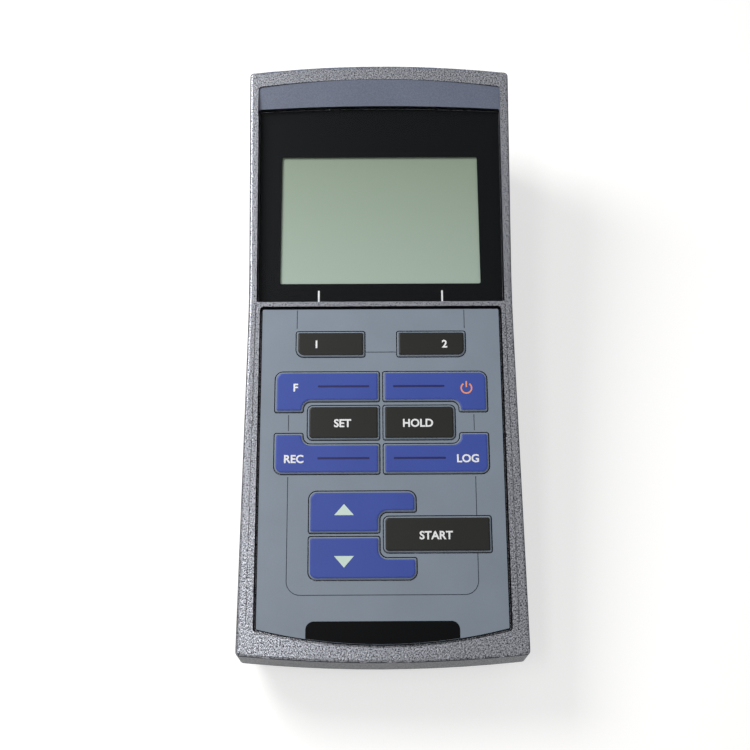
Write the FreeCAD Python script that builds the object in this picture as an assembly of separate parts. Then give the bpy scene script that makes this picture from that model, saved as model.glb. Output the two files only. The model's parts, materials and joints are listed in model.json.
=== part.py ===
"""Portable conductivity meter as its separate pieces, in millimetres.

Most pieces are drawn in the face frame: x to the right, y towards the display end and
z out of the keypad face, with z = 0 on the rim. The battery bay and its cover are drawn
in the rest frame, in which the meter stands on its feet: +Z up, z = 0 on the table. Every
piece ends in the rest frame, with the origin on the table below the middle of the meter.
"""
import FreeCAD
import Part
import math
import os

Vector = FreeCAD.Vector

# Housing, seen on its face
face_length = 180.0
display_half_width = 40.09
user_narrowing = 0.04
waist_narrowing = 1.42
waist_y = 14.0
waist_radius = 700.0
user_bow = 2.0
display_bow = 2.4
corner_radius = 2.4
rim_edge_radius = 0.9

# Housing, seen from the side
tilt_deg = 10.0
front_depth = 13.0
underside_depth = 40.0
user_flare = 1.8
side_flare = 0.2
seam_step = 0.15
side_draft_deg = 2.6
user_draft_deg = 14.0
display_draft_deg = 2.0
base_corner_radius = 12.0
base_edge_radius = 4.5
draft_reach = 50.0
heel_length = 28.0
heel_radius = 26.0
heel_ramp = 16.0
grip_depth = 23.6
grip_radius = 22.0
hump_ramp = 19.0
hump_radius = 8.0
hump_length = 84.0
foot_height = 1.2

# Walls and the seam between the two shells
wall = 2.8
deck_depth = 4.6
groove_margin = 0.85
groove_width = 1.2
groove_depth = 1.4
seal_height = 1.0
seal_gap = 0.05

# Display window and the sloped field above it
display_rim = 4.7
slope_length = 8.7
slope_bow = 2.6
slope_top_drop = 0.12
slope_side_margin = 2.75
window_low_y = 12.7
window_waist_margin = 2.35
window_top_margin = 3.0
window_bow = 1.1
window_drop = 1.2
window_thickness = 1.8
window_gap = 0.1
window_ledge = 1.8

# Liquid crystal cell and what holds it
view_margin = 4.7
view_low_margin = 6.5
view_high_margin = 16.4
frame_wall = 1.2
frame_lip = 0.4
lcd_border = 2.9
lcd_thickness = 2.0
lcd_gap = 0.1
strip_width = 1.6

# Keypad field, sheet and keys
strip_height = 1.5
keypad_side_margin = 3.27
user_rim = 3.9
keypad_bow = 4.4
keypad_corner_radius = 1.2
sheet_gap = 0.6
sheet_thickness = 2.4
sheet_drop = 0.45
sheet_edge = 0.25
key_gap = 0.3
key_travel = 0.7
key_step = 0.35
key_face_step = 0.25
key_face_inset = 0.7
key_edge = 0.12
key_skirt = 1.5
key_stop_gap = 0.1
stem_radius = 2.5
stem_gap = 0.3
foot_radius = 3.4
foot_thickness = 0.8
plunger_radius = 2.0
plunger_length = 0.7
line_width = 0.22
line_depth = 0.15
label_half_width = 21.1
label_height = 7.1
label_thickness = 0.3
side_groove_width = 0.35
side_groove_depth = 0.35
side_groove_margin = 2.3
side_groove_end = 79.5

# Keys, on the face: the wide keys reach past the middle ones with a shoulder
key_outer_margin = 5.0
key_inner_x = 0.6
shoulder_width = 8.0
middle_key_x = 21.0
soft_outer_x = 24.5
soft_inner_x = 4.75
soft_low_y = -4.1
soft_high_y = 3.45
upper_high_y = -8.7
upper_low_y = -17.4
upper_shoulder_y = -20.5
middle_high_y = -18.7
middle_low_y = -28.6
lower_shoulder_y = -26.8
lower_high_y = -29.9
lower_low_y = -38.4
arrow_left_x = 20.4
arrow_notch_x = 0.7
arrow_right_x = 9.5
up_high_y = -43.4
up_notch_y = -49.2
up_low_y = -55.0
down_high_y = -56.1
down_notch_y = -62.0
down_low_y = -67.9
confirm_left_x = 0.5
confirm_high_y = -50.5
confirm_low_y = -60.5
key_large_radius = 2.2
key_middle_radius = 1.4
soft_stem_x = 14.6
wide_stem_x = 15.5
middle_stem_x = 10.8
arrow_stem_x = 10.5

# Fine grooves in the sheet
soft_line_x = 24.4
soft_line_y = -2.7
soft_line_half = 4.7
side_line_x = 26.5
side_line_end = 0.8
low_line_y = -72.0
low_line_radius = 3.8

# Circuit boards and what is on them
dome_radius = 3.6
dome_height = 0.35
post_low_margin = 24.0
post_screw_pitch = 12.0
post_frame_gap = 5.0
chip_leg = 0.8
chip_leg_thickness = 0.25
chip_edge = 0.2
processor_y = 30.0
processor_x = -6.0
processor_half = 6.0
processor_height = 1.5
small_chip_x = 14.0
small_chip_height = 1.2
amplifier_y = -30.0
amplifier_half = 4.0
memory_y = -48.0
memory_half = 3.0
regulator_y = -52.0
regulator_half = 2.5
buzzer_x = 18.0
buzzer_y = 22.0
buzzer_radius = 4.8
buzzer_height = 3.2
buzzer_hole_radius = 0.8
link_half = 12.0
link_depth = 2.6
link_height = 9.0
board_thickness = 1.6
board_gap = 0.7
board_end_gap = 3.2
board_corner_radius = 3.0
post_radius = 2.6
board_screw_radius = 1.0
board_screw_head_radius = 1.9
board_screw_head_height = 1.3
screw_gap = 0.03

# Screws that join the two shells
boss_radius = 3.2
tube_radius = 4.5
boss_reach = 3.0
boss_gap = 0.05
screw_radius = 1.5
screw_length = 9.0
screw_head_radius = 2.8
screw_head_height = 2.2
screw_slot_width = 0.8
screw_seat = 3.0
counterbore_radius = 3.1
clearance_hole_radius = 1.7
corner_screw_inset = 8.59
corner_screw_margin = 7.8
heel_screw_margin = 9.5
waist_screw_inset = 7.07
waist_screw_margin = 1.0

# Measuring socket and USB socket at the display end
pad_proud = 1.2
pad_low = 35.5
pad_high = 14.2
pad_corner_radius = 2.0
socket_x = -11.0
socket_depth = 24.6
socket_bore_radius = 6.8
socket_bore_length = 9.0
socket_wall = 2.0
socket_flange_radius = 11.0
socket_flange_height = 2.0
socket_hole_gap = 0.15
insert_gap = 0.03
insert_length = 4.5
insert_radius = 6.3
contact_circle_radius = 4.3
contact_radius = 0.75
contact_hole_radius = 0.45
nut_flats = 21.0
nut_thickness = 3.0
ring_width = 1.0
ring_height = 0.7
usb_x = 18.0
usb_depth = 22.5
usb_width = 7.7
usb_height = 3.9
usb_length = 9.2
usb_wall = 0.4
usb_bevel = 0.9
usb_tongue_half = 2.2
usb_tongue_thickness = 0.8
usb_opening_gap = 0.75
flap_width = 15.0
flap_height = 10.0
flap_thickness = 1.8
flap_gap = 0.1
flap_plug_depth = 1.6
flap_plug_gap = 0.45
flap_corner_radius = 1.6
flap_lip_half = 3.0
flap_lip_reach = 1.4
hinge_radius = 0.9
strap_half_width = 3.5
ear_width = 2.0
anchor_height = 3.0
socket_board_gap = 0.1
socket_board_bay_gap = 1.3
socket_board_side_gap = 3.0
socket_board_drop = 6.0

# Battery bay and its cover
cell_radius = 7.25
cell_length = 50.5
cell_nub_radius = 2.75
cell_nub_length = 1.0
cell_count = 4
cell_gap = 0.2
cell_play = 0.3
contact_play = 0.1
contact_thickness = 0.4
contact_half_height = 5.8
spring_reach = 2.7
spring_width = 5.0
spring_thickness = 0.3
bay_start = 10.4
bay_wall = 3.2
bay_ceiling = 1.6
cover_thickness = 2.2
cover_ledge = 2.7
cover_gap = 0.25
cover_lift_gap = 0.2
cover_corner_radius = 2.5
cover_edge = 0.3
thumb_radius = 14.0
thumb_depth = 0.8
thumb_length = 16.0
cover_seal_width = 1.2
cover_seal_height = 0.7
cover_seal_proud = 0.1
ear_radius = 3.8
ear_inset = 1.4
ear_root_radius = 1.2
cover_screw_radius = 1.25
cover_screw_head_radius = 2.4
cover_screw_head_height = 1.2
cover_slot_width = 0.7
cover_screw_length = 8.0
cover_screw_gap = 0.08
cover_boss_radius = 4.0

# Rubber feet
foot_margin = 0.8
foot_half_length = 8.0
foot_half_width = 2.2
foot_x = 14.5
heel_foot_x = 19.0
heel_foot_margin = 14.0
heel_foot_radius = 4.0
foot_sink = 0.8

# Small rounding shared by corners that would be sharp in a drawing
small_radius = 0.5


def rounded_wire(corners):
    """Closed wire through (x, y, radius) corners, each rounded by a tangent arc."""
    count = len(corners)
    arcs = []
    for index, (x, y, radius) in enumerate(corners):
        here = Vector(x, y, 0)
        before = Vector(corners[index - 1][0], corners[index - 1][1], 0)
        after = Vector(corners[(index + 1) % count][0], corners[(index + 1) % count][1], 0)
        back = (before - here).normalize()
        ahead = (after - here).normalize()
        half_angle = back.getAngle(ahead) / 2
        reach = radius / math.tan(half_angle)
        inward = (back + ahead).normalize()
        middle = here + inward * (radius / math.sin(half_angle) - radius)
        arcs.append((here + back * reach, middle, here + ahead * reach))
    edges = []
    for index, (start, middle, end) in enumerate(arcs):
        if (end - start).Length > 1e-6:
            edges.append(Part.Arc(start, middle, end).toShape())
        following = arcs[(index + 1) % count][0]
        if (following - end).Length > 1e-6:
            edges.append(Part.LineSegment(end, following).toShape())
    return Part.Wire(edges)


def inset(corners, distance):
    """Move every side of an anticlockwise outline inwards, and its radii with it."""
    count = len(corners)
    moved = []
    for index, (x, y, radius) in enumerate(corners):
        before = corners[index - 1]
        after = corners[(index + 1) % count]
        ux, uy = x - before[0], y - before[1]
        vx, vy = after[0] - x, after[1] - y
        u_length, v_length = math.hypot(ux, uy), math.hypot(vx, vy)
        ux, uy, vx, vy = ux / u_length, uy / u_length, vx / v_length, vy / v_length
        turn = ux * vy - uy * vx
        along = distance * (1 - (ux * vx + uy * vy)) / turn
        new_radius = radius - distance if turn > 0 else radius + distance
        if radius > 0:
            new_radius = max(new_radius, 0.15)
        moved.append((x - uy * distance - ux * along, y + ux * distance - uy * along, max(new_radius, 0)))
    return moved


def bow_apex(half_width, corner_y, middle_y, radius):
    """Corner on the centre line whose arc bows an end out to middle_y."""
    slope = 2 * (middle_y - corner_y) / (half_width + radius)
    edge = half_width * math.hypot(1, slope)
    return (0.0, corner_y + half_width * slope, (edge - 1.15 * radius) / abs(slope))


def bowed_outline(low_half, low_y, low_bow, high_half, high_y, high_bow, radius, waist=None):
    """Anticlockwise outline with straight or waisted sides and straight or bowed ends."""
    corners = []
    if low_bow > 0:
        corners.append(bow_apex(low_half, low_y + low_bow, low_y, radius))
    corners.append((low_half, low_y + low_bow, radius))
    if waist:
        corners.append((waist[0], waist[1], waist_radius))
    corners.append((high_half, high_y - high_bow, radius))
    if high_bow > 0:
        corners.append(bow_apex(high_half, high_y - high_bow, high_y, radius))
    corners.append((-high_half, high_y - high_bow, radius))
    if waist:
        corners.append((-waist[0], waist[1], waist_radius))
    corners.append((-low_half, low_y + low_bow, radius))
    return corners


def box_corners(x_low, y_low, x_high, y_high, radius=0.0):
    """Anticlockwise rectangle."""
    return [
        (x_low, y_low, radius), (x_high, y_low, radius),
        (x_high, y_high, radius), (x_low, y_high, radius)]


def mirrored(corners):
    """The same outline on the other side of the centre line."""
    return [(-x, y, radius) for x, y, radius in reversed(corners)]


def prism(corners, low, high):
    """Outline in the x-y plane carried from height low to height high."""
    solid = Part.Face(rounded_wire(corners)).extrude(Vector(0, 0, high - low))
    solid.translate(Vector(0, 0, low))
    return solid


def side_prism(corners, half_width):
    """Outline given in y and z, carried across the meter from -x to +x."""
    solid = Part.Face(rounded_wire(corners)).extrude(Vector(0, 0, 2 * half_width))
    solid.rotate(Vector(0, 0, 0), Vector(1, 1, 1), 120)
    solid.translate(Vector(-half_width, 0, 0))
    return solid


def end_prism(corners, low, high):
    """Outline given in x and z, carried along y from low to high."""
    flipped = [(x, -z, radius) for x, z, radius in reversed(corners)]
    solid = Part.Face(rounded_wire(flipped)).extrude(Vector(0, 0, high - low))
    solid.rotate(Vector(0, 0, 0), Vector(1, 0, 0), -90)
    solid.translate(Vector(0, low, 0))
    return solid


def tapered(low_corners, low, high_corners, high):
    """Solid between two outlines with the same corners at two heights."""
    low_wire = rounded_wire(low_corners)
    low_wire.translate(Vector(0, 0, low))
    high_wire = rounded_wire(high_corners)
    high_wire.translate(Vector(0, 0, high))
    return Part.makeLoft([low_wire, high_wire], True, True)


def upright(x, y, radius, low, high):
    """Cylinder along z between two heights."""
    return Part.makeCylinder(radius, high - low, Vector(x, y, low))


def along_y(x, z, radius, low, high):
    """Cylinder along y between two distances."""
    return Part.makeCylinder(radius, high - low, Vector(x, low, z), Vector(0, 1, 0))


def joined(solids):
    """One solid out of overlapping ones."""
    whole = solids[0]
    for solid in solids[1:]:
        whole = whole.fuse(solid)
    return whole.removeSplitter()


def level_edges(solid, height, tolerance=0.01):
    """Edges that lie wholly at one height."""
    return [
        edge for edge in solid.Edges
        if abs(edge.BoundBox.ZMin - height) < tolerance and abs(edge.BoundBox.ZMax - height) < tolerance
    ]


# Places and heights in the face frame that several pieces share
half_length = face_length / 2
user_half_width = display_half_width - user_narrowing
waist_half_width = display_half_width - waist_narrowing
heel_end_y = -half_length + heel_length
grip_start_y = heel_end_y + heel_ramp
hump_start_y = half_length - hump_length
grip_end_y = hump_start_y - hump_ramp
corner_screw_x = display_half_width - corner_screw_inset
waist_screw_x = waist_half_width - waist_screw_inset
waist_screw_y = grip_end_y - waist_screw_margin
tilt = math.radians(tilt_deg)
seam = -front_depth
deck_low = -deck_depth
sheet_top = -sheet_drop
floor_top = sheet_top - sheet_thickness
window_top = -window_drop
window_back = window_top - window_thickness
key_base_top = sheet_top + key_step
key_face_top = key_base_top + key_face_step
plunger_low = deck_low - key_stop_gap - foot_thickness - plunger_length
dome_top = plunger_low - key_travel - key_stop_gap
board_top = dome_top - dome_height
board_low = board_top - board_thickness
boss_low = seam - boss_reach
screw_seat_z = boss_low - boss_gap - screw_seat

# Outlines on the face that several pieces share
keypad_half = waist_half_width - keypad_side_margin
keypad_high_y = window_low_y - strip_height
keypad_low_y = -half_length + user_rim
window_low_half = waist_half_width - window_waist_margin
window_high_half = display_half_width - window_top_margin
slope_high_y = half_length - display_rim
window_high_y = slope_high_y - slope_length
keypad_field = bowed_outline(
    keypad_half, keypad_low_y, keypad_bow, keypad_half, keypad_high_y, 0, keypad_corner_radius)
window_outline = bowed_outline(
    window_low_half, window_low_y, 0, window_high_half, window_high_y, window_bow, small_radius)
slope_outline = bowed_outline(
    display_half_width - slope_side_margin, window_high_y - 4 * window_bow, 0,
    display_half_width - slope_side_margin, slope_high_y, slope_bow, 2 * small_radius)
view_half = window_low_half - window_ledge - view_margin
view_low_y = window_low_y + view_low_margin
view_high_y = window_high_y - view_high_margin
lcd_low_y = view_low_y - lcd_border
lcd_high_y = view_high_y + lcd_border
lcd_half = view_half + lcd_border
frame_half = lcd_half + lcd_gap + frame_wall
frame_low_y = lcd_low_y - lcd_gap - frame_wall
frame_high_y = lcd_high_y + lcd_gap + frame_wall


def housing_corners(side, user, display, radius=corner_radius):
    """Outline of the housing, grown by the given amounts at its sides and ends."""
    return bowed_outline(
        user_half_width + side, -half_length - user, user_bow,
        display_half_width + side, half_length + display, display_bow,
        radius, (waist_half_width + side, waist_y))


def to_rest(solid):
    """Tilt a solid from the face frame into the rest frame."""
    turned = solid.copy()
    turned.rotate(Vector(0, 0, 0), Vector(1, 0, 0), tilt_deg)
    turned.translate(Vector(0, 0, underside_depth * math.cos(tilt) + foot_height))
    return turned


def rest_point(x, y, z):
    """Where a point of the face frame lies in the rest frame."""
    return Vector(
        x,
        y * math.cos(tilt) - z * math.sin(tilt),
        y * math.sin(tilt) + z * math.cos(tilt) + underside_depth * math.cos(tilt) + foot_height)


def underside_z(y):
    """Height in the face frame of the flat underside, which lies level at rest."""
    return -underside_depth - y * math.tan(tilt)


def socket_cylinder(radius, low, high):
    """Cylinder on the measuring socket's axis."""
    return along_y(socket_x, -socket_depth, radius, low, high)


# Keys: outline on the face and the place of the stem, from top left to bottom right
key_outer_x = keypad_half - key_outer_margin
shoulder_x = key_outer_x - shoulder_width
soft_key = [
    (-soft_outer_x, soft_low_y, key_large_radius), (-soft_inner_x, soft_low_y, small_radius),
    (-soft_inner_x, soft_high_y, small_radius), (-soft_outer_x, soft_high_y, small_radius)]
upper_key = [
    (-key_outer_x, upper_shoulder_y, small_radius), (-shoulder_x, upper_shoulder_y, small_radius),
    (-shoulder_x, upper_low_y, key_large_radius), (-key_inner_x, upper_low_y, small_radius),
    (-key_inner_x, upper_high_y, small_radius), (-key_outer_x, upper_high_y, key_large_radius)]
middle_key = [
    (-middle_key_x, middle_low_y, key_middle_radius), (-key_inner_x, middle_low_y, small_radius),
    (-key_inner_x, middle_high_y, small_radius), (-middle_key_x, middle_high_y, key_middle_radius)]
lower_key = [
    (-key_outer_x, lower_low_y, key_large_radius), (-key_inner_x, lower_low_y, small_radius),
    (-key_inner_x, lower_high_y, small_radius), (-shoulder_x, lower_high_y, key_large_radius),
    (-shoulder_x, lower_shoulder_y, small_radius), (-key_outer_x, lower_shoulder_y, small_radius)]
up_outline = [
    (-arrow_left_x, up_low_y, small_radius), (-arrow_notch_x, up_low_y, small_radius),
    (-arrow_notch_x, up_notch_y, key_large_radius), (arrow_right_x, up_notch_y, small_radius),
    (arrow_right_x, up_high_y, key_large_radius), (-arrow_left_x, up_high_y, key_large_radius)]
down_outline = [
    (-arrow_left_x, down_low_y, key_large_radius), (arrow_right_x, down_low_y, key_large_radius),
    (arrow_right_x, down_notch_y, small_radius), (-arrow_notch_x, down_notch_y, key_large_radius),
    (-arrow_notch_x, down_high_y, small_radius), (-arrow_left_x, down_high_y, small_radius)]
confirm_outline = [
    (confirm_left_x, confirm_low_y, key_middle_radius), (key_outer_x, confirm_low_y, small_radius),
    (key_outer_x, confirm_high_y, small_radius), (confirm_left_x, confirm_high_y, key_middle_radius)]
upper_y = (upper_high_y + upper_low_y) / 2
middle_row_y = (middle_high_y + middle_low_y) / 2
lower_y = (lower_high_y + lower_low_y) / 2
soft_y = (soft_high_y + soft_low_y) / 2
keys = {
    "key_soft_left": (soft_key, (-soft_stem_x, soft_y)),
    "key_soft_right": (mirrored(soft_key), (soft_stem_x, soft_y)),
    "key_mode": (upper_key, (-wide_stem_x, upper_y)),
    "key_power": (mirrored(upper_key), (wide_stem_x, upper_y)),
    "key_set": (middle_key, (-middle_stem_x, middle_row_y)),
    "key_hold": (mirrored(middle_key), (middle_stem_x, middle_row_y)),
    "key_store": (lower_key, (-wide_stem_x, lower_y)),
    "key_recall": (mirrored(lower_key), (wide_stem_x, lower_y)),
    "key_up": (up_outline, (-arrow_stem_x, (up_high_y + up_low_y) / 2)),
    "key_down": (down_outline, (-arrow_stem_x, (down_high_y + down_low_y) / 2)),
    "key_confirm": (confirm_outline, (wide_stem_x, (confirm_high_y + confirm_low_y) / 2)),
}

# Places of the screws, on the face
shell_screw_places = []
board_post_places = []
for side in (-1, 1):
    shell_screw_places.append((side * corner_screw_x, half_length - corner_screw_margin))
    shell_screw_places.append((side * corner_screw_x, -half_length + heel_screw_margin))
    shell_screw_places.append((side * waist_screw_x, waist_screw_y))
    for post_y in (
            -half_length + post_low_margin, waist_screw_y + post_screw_pitch,
            frame_high_y + post_frame_gap + post_radius):
        board_post_places.append((side * (waist_half_width - wall - post_radius - board_gap), post_y))


def front_housing():
    """Front shell: rim, window seat, keypad deck and the bosses below them."""
    outer = tapered(
        housing_corners(side_flare, user_flare, side_flare), seam,
        housing_corners(0, 0, 0), 0)
    outer = outer.makeFillet(rim_edge_radius, level_edges(outer, 0))
    inner = tapered(
        inset(housing_corners(side_flare, user_flare, side_flare), wall), seam - 1,
        inset(housing_corners(0, 0, 0), wall), deck_low)
    shell = outer.cut(inner)
    slope = side_prism(
        [
            (window_high_y - 5, 2, 0), (window_high_y - 5, slope_height(window_high_y - 5), 0),
            (half_length, slope_height(half_length), 0), (half_length, 2, 0)],
        display_half_width)
    cuts = [
        prism(keypad_field, floor_top, 1),
        prism(inset(window_outline, -window_gap), window_back, 1),
        prism(slope_outline, window_back, 2).common(slope),
        prism(
            box_corners(
                -frame_half - lcd_gap, frame_low_y - lcd_gap,
                frame_half + lcd_gap, frame_high_y + lcd_gap, small_radius), deck_low - 1, window_back + 1),
    ]
    for side in (-1, 1):
        top_x = waist_half_width - side_groove_margin
        low_x = user_half_width - side_groove_margin - 2 * side_groove_width
        line = [
            (low_x, -side_groove_end, 0), (low_x + side_groove_width, -side_groove_end, 0),
            (top_x + side_groove_width, window_low_y - 1, 0), (top_x, window_low_y - 1, 0)]
        cuts.append(prism(line if side > 0 else mirrored(line), -side_groove_depth, 1))
    for _, (x, y) in keys.values():
        cuts.append(upright(x, y, stem_radius + stem_gap, deck_low - 1, floor_top + 1))
    shell = shell.cut(cuts)
    bosses = [upright(x, y, boss_radius, boss_low, deck_low) for x, y in shell_screw_places]
    bosses += [upright(x, y, post_radius, board_top, deck_low) for x, y in board_post_places]
    tongue = ring(
        groove_margin + seal_gap, groove_width - 2 * seal_gap, seam - groove_depth + seal_height, seam)
    shell = shell.fuse(bosses + [tongue])
    holes = [
        upright(x, y, screw_radius + screw_gap, boss_low - 1, screw_seat_z + screw_length + 1)
        for x, y in shell_screw_places]
    holes += [
        upright(x, y, board_screw_radius + screw_gap, board_top - 1, deck_low - small_radius)
        for x, y in board_post_places]
    return shell.cut(holes).removeSplitter()


def slope_height(y):
    """Height of the sloped field above the window, which falls towards the window."""
    return -slope_top_drop - (slope_high_y - y) * (window_drop - slope_top_drop) / slope_length


def ring(margin, width, low, high):
    """Band that follows the seam, a margin in from the outside of the rear shell."""
    rear_edge = rear_corners(0)
    return prism(inset(rear_edge, margin), low, high).cut(prism(inset(rear_edge, margin + width), low, high))


def rear_corners(drop):
    """Outline of the rear shell at a depth below the seam."""
    share = drop / draft_reach
    return housing_corners(
        side_flare - seam_step - drop * math.tan(math.radians(side_draft_deg)),
        user_flare - seam_step - drop * math.tan(math.radians(user_draft_deg)),
        side_flare - seam_step - drop * math.tan(math.radians(display_draft_deg)),
        corner_radius + (base_corner_radius - corner_radius) * share)


def underside_corners():
    """Side view of the rear shell: heel, hollow grip and the deep part below the display."""
    beyond = half_length + 4 * wall
    return [
        (-beyond, underside_z(-beyond), 0), (heel_end_y, underside_z(heel_end_y), heel_radius),
        (grip_start_y, -grip_depth, grip_radius), (grip_end_y, -grip_depth, grip_radius),
        (hump_start_y, underside_z(hump_start_y), hump_radius), (beyond, underside_z(beyond), 0),
        (beyond, seam + 4 * wall, 0), (-beyond, seam + 4 * wall, 0)]


def rear_outer():
    """Solid outside form of the rear shell, in the face frame."""
    walls = tapered(rear_corners(draft_reach), seam - draft_reach, rear_corners(0), seam)
    form = walls.common(side_prism(underside_corners(), 2 * user_half_width))
    return form.makeFillet(base_edge_radius, base_edges(form))


def base_edges(form):
    """Edges all round the underside."""
    profile = side_prism(underside_corners(), 2 * user_half_width)
    found = []
    for edge in form.Edges:
        middle = edge.valueAt((edge.FirstParameter + edge.LastParameter) / 2)
        spread = edge.BoundBox.XLength + edge.BoundBox.YLength
        on_profile = profile.Shells[0].distToShape(Part.Vertex(middle))[0] < 0.01
        across = edge.BoundBox.YLength < 0.01 and abs(middle.x) < 1 and abs(middle.y) < half_length - 8
        if on_profile and spread > 0.05 and not across and middle.z < seam - 1:
            found.append(edge)
    return found


def rear_inner():
    """Hollow of the rear shell, in the face frame."""
    walls = tapered(
        inset(rear_corners(draft_reach), wall), seam - draft_reach, inset(rear_corners(0), wall), seam)
    return walls.common(side_prism(inset(underside_corners(), wall), 2 * user_half_width))


# Battery bay in the rest frame
bay_half = (cell_length + spring_reach) / 2 + contact_thickness + contact_play
bay_low_y = bay_start + rest_point(0, hump_start_y, underside_z(hump_start_y)).y
bay_high_y = bay_low_y + cell_count * (2 * cell_radius + cell_gap)
cover_top = foot_height + cover_thickness
cover_ledge_z = cover_top + cover_lift_gap
cell_z = cover_ledge_z + cell_play + cell_radius
bay_top = cell_z + cell_radius + cell_play
ear_places = [(0, bay_low_y - cover_ledge - ear_inset), (0, bay_high_y + cover_ledge + ear_inset)]
cell_places = [
    bay_low_y + (index + 0.5) * (2 * cell_radius + cell_gap) for index in range(cell_count)]


def cover_corners():
    """Cover plate with a rounded ear in the middle of its near and far edges."""
    half = bay_half + cover_ledge
    low, high = bay_low_y - cover_ledge, bay_high_y + cover_ledge
    reach = ear_inset + ear_radius
    tip = 0.9 * ear_radius
    return [
        (-half, low, cover_corner_radius), (-ear_radius, low, ear_root_radius),
        (-ear_radius, low - reach, tip),
        (ear_radius, low - reach, tip), (ear_radius, low, ear_root_radius), (half, low, cover_corner_radius),
        (half, high, cover_corner_radius), (ear_radius, high, ear_root_radius),
        (ear_radius, high + reach, tip),
        (-ear_radius, high + reach, tip), (-ear_radius, high, ear_root_radius),
        (-half, high, cover_corner_radius)]


def cover_form(grow, low, high):
    """Cover plate with its ears, grown all round."""
    return prism(inset(cover_corners(), -grow), low, high)


def pad_corners():
    """Flat field round the sockets on the display end, in x and z."""
    half = corner_screw_x - tube_radius + 1
    return box_corners(-half, -pad_low, half, -pad_high, pad_corner_radius)


pad_face = half_length + pad_proud
pad_back = half_length - wall - pad_proud
usb_opening = box_corners(
    usb_x - usb_width / 2 - usb_opening_gap, -usb_depth - usb_height / 2 - usb_opening_gap,
    usb_x + usb_width / 2 + usb_opening_gap, -usb_depth + usb_height / 2 + usb_opening_gap, small_radius)


def rear_housing():
    """Rear shell: heel, grip, battery bay, screw tubes and the socket field, in the rest frame."""
    outer = rear_outer()
    shell = outer.cut(rear_inner())
    tubes = [
        upright(x, y, tube_radius, seam - draft_reach, boss_low - boss_gap)
        for x, y in shell_screw_places]
    shell = shell.fuse([tube.common(outer) for tube in tubes])
    pad = end_prism(pad_corners(), pad_back, pad_face)
    shell = shell.fuse(pad).cut(ring(groove_margin, groove_width, seam - groove_depth, seam + 1))
    cuts = [
        socket_cylinder(socket_outer_radius + socket_hole_gap, pad_back - 1, pad_face + 1),
        end_prism(usb_opening, pad_back - 1, pad_face + 1),
        anchor_peg(stem_gap / 3)]
    for x, y in shell_screw_places:
        cuts.append(upright(x, y, counterbore_radius, seam - draft_reach, screw_seat_z))
        cuts.append(upright(x, y, clearance_hole_radius, screw_seat_z - 1, seam))
    shell = to_rest(shell.cut(cuts))
    bay_outer = prism(
        box_corners(
            -bay_half - bay_wall, bay_low_y - bay_wall, bay_half + bay_wall, bay_high_y + bay_wall,
            cover_corner_radius), foot_height, bay_top + bay_ceiling)
    cover_bosses = [
        upright(x, y, cover_boss_radius, foot_height, cover_top + cover_screw_length + 1)
        for x, y in ear_places]
    shell = shell.fuse([bay_outer] + cover_bosses)
    inside = prism(box_corners(-bay_half, bay_low_y, bay_half, bay_high_y, small_radius), 0, bay_top)
    cuts = [inside, cover_form(cover_gap, 0, cover_ledge_z)]
    for x, y in ear_places:
        cuts.append(upright(
            x, y, cover_screw_radius + cover_screw_gap, cover_ledge_z - 1,
            cover_top + cover_screw_length))
    cuts += [foot_form(place, 0) for place in foot_places()]
    return shell.cut(cuts).removeSplitter()


def foot_places():
    """Middle, half length and half width of each foot in the rest frame."""
    far_y = bay_high_y + cover_ledge + cover_gap + foot_margin + foot_half_width
    near = rest_point(0, -half_length + heel_foot_margin, underside_z(-half_length + heel_foot_margin))
    places = []
    for side in (-1, 1):
        places.append((side * foot_x, far_y, foot_half_length, foot_half_width))
        places.append((side * heel_foot_x, near.y, heel_foot_radius, heel_foot_radius))
    return places


def foot_form(place, low):
    """One foot, sunk into the underside."""
    x, y, half_x, half_y = place
    outline = box_corners(x - half_x, y - half_y, x + half_x, y + half_y, 0.98 * min(half_x, half_y))
    return prism(outline, low, foot_height + foot_sink)


def rubber_feet():
    """Four glued feet: two bars by the battery cover and two round ones at the heel."""
    return [foot_form(place, 0) for place in foot_places()]


def housing_seal():
    """Cord seal in the groove between the two shells."""
    low = seam - groove_depth
    return to_rest(ring(groove_margin + seal_gap, groove_width - 2 * seal_gap, low, low + seal_height))


def slot_form(x, y, half_length, width, low, depth):
    """Driver slot across a screw head, cut up from its lower face."""
    outline = box_corners(x - half_length, y - width / 2, x + half_length, y + width / 2)
    return prism(outline, low - 1, low + depth)


def housing_screws():
    """Six pan-head screws driven from the underside."""
    screws = []
    for x, y in shell_screw_places:
        head = upright(x, y, screw_head_radius, screw_seat_z - screw_head_height, screw_seat_z)
        shank = upright(x, y, screw_radius, screw_seat_z, screw_seat_z + screw_length)
        slot = slot_form(x, y, screw_head_radius, screw_slot_width, screw_seat_z - screw_head_height, 1)
        screws.append(to_rest(head.fuse(shank).cut(slot).removeSplitter()))
    return screws


def display_window():
    """Clear window plate, flush in its seat."""
    plate = prism(window_outline, window_back, window_top)
    return to_rest(plate.makeChamfer(key_edge, level_edges(plate, window_top)))


lcd_top = window_back - lcd_gap - frame_lip - lcd_gap / 2
lcd_low = lcd_top - lcd_thickness
diffuser_top = lcd_low - lcd_gap


def lcd_glass():
    """Liquid crystal cell: two panes, the lower one a little longer for its contacts."""
    outline = box_corners(-lcd_half, lcd_low_y, lcd_half, lcd_high_y)
    upper = box_corners(-lcd_half, lcd_low_y + strip_width / 2, lcd_half, lcd_high_y - strip_width / 2)
    middle = lcd_low + lcd_thickness / 2
    return to_rest(joined([prism(outline, lcd_low, middle), prism(upper, middle, lcd_top)]))


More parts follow.
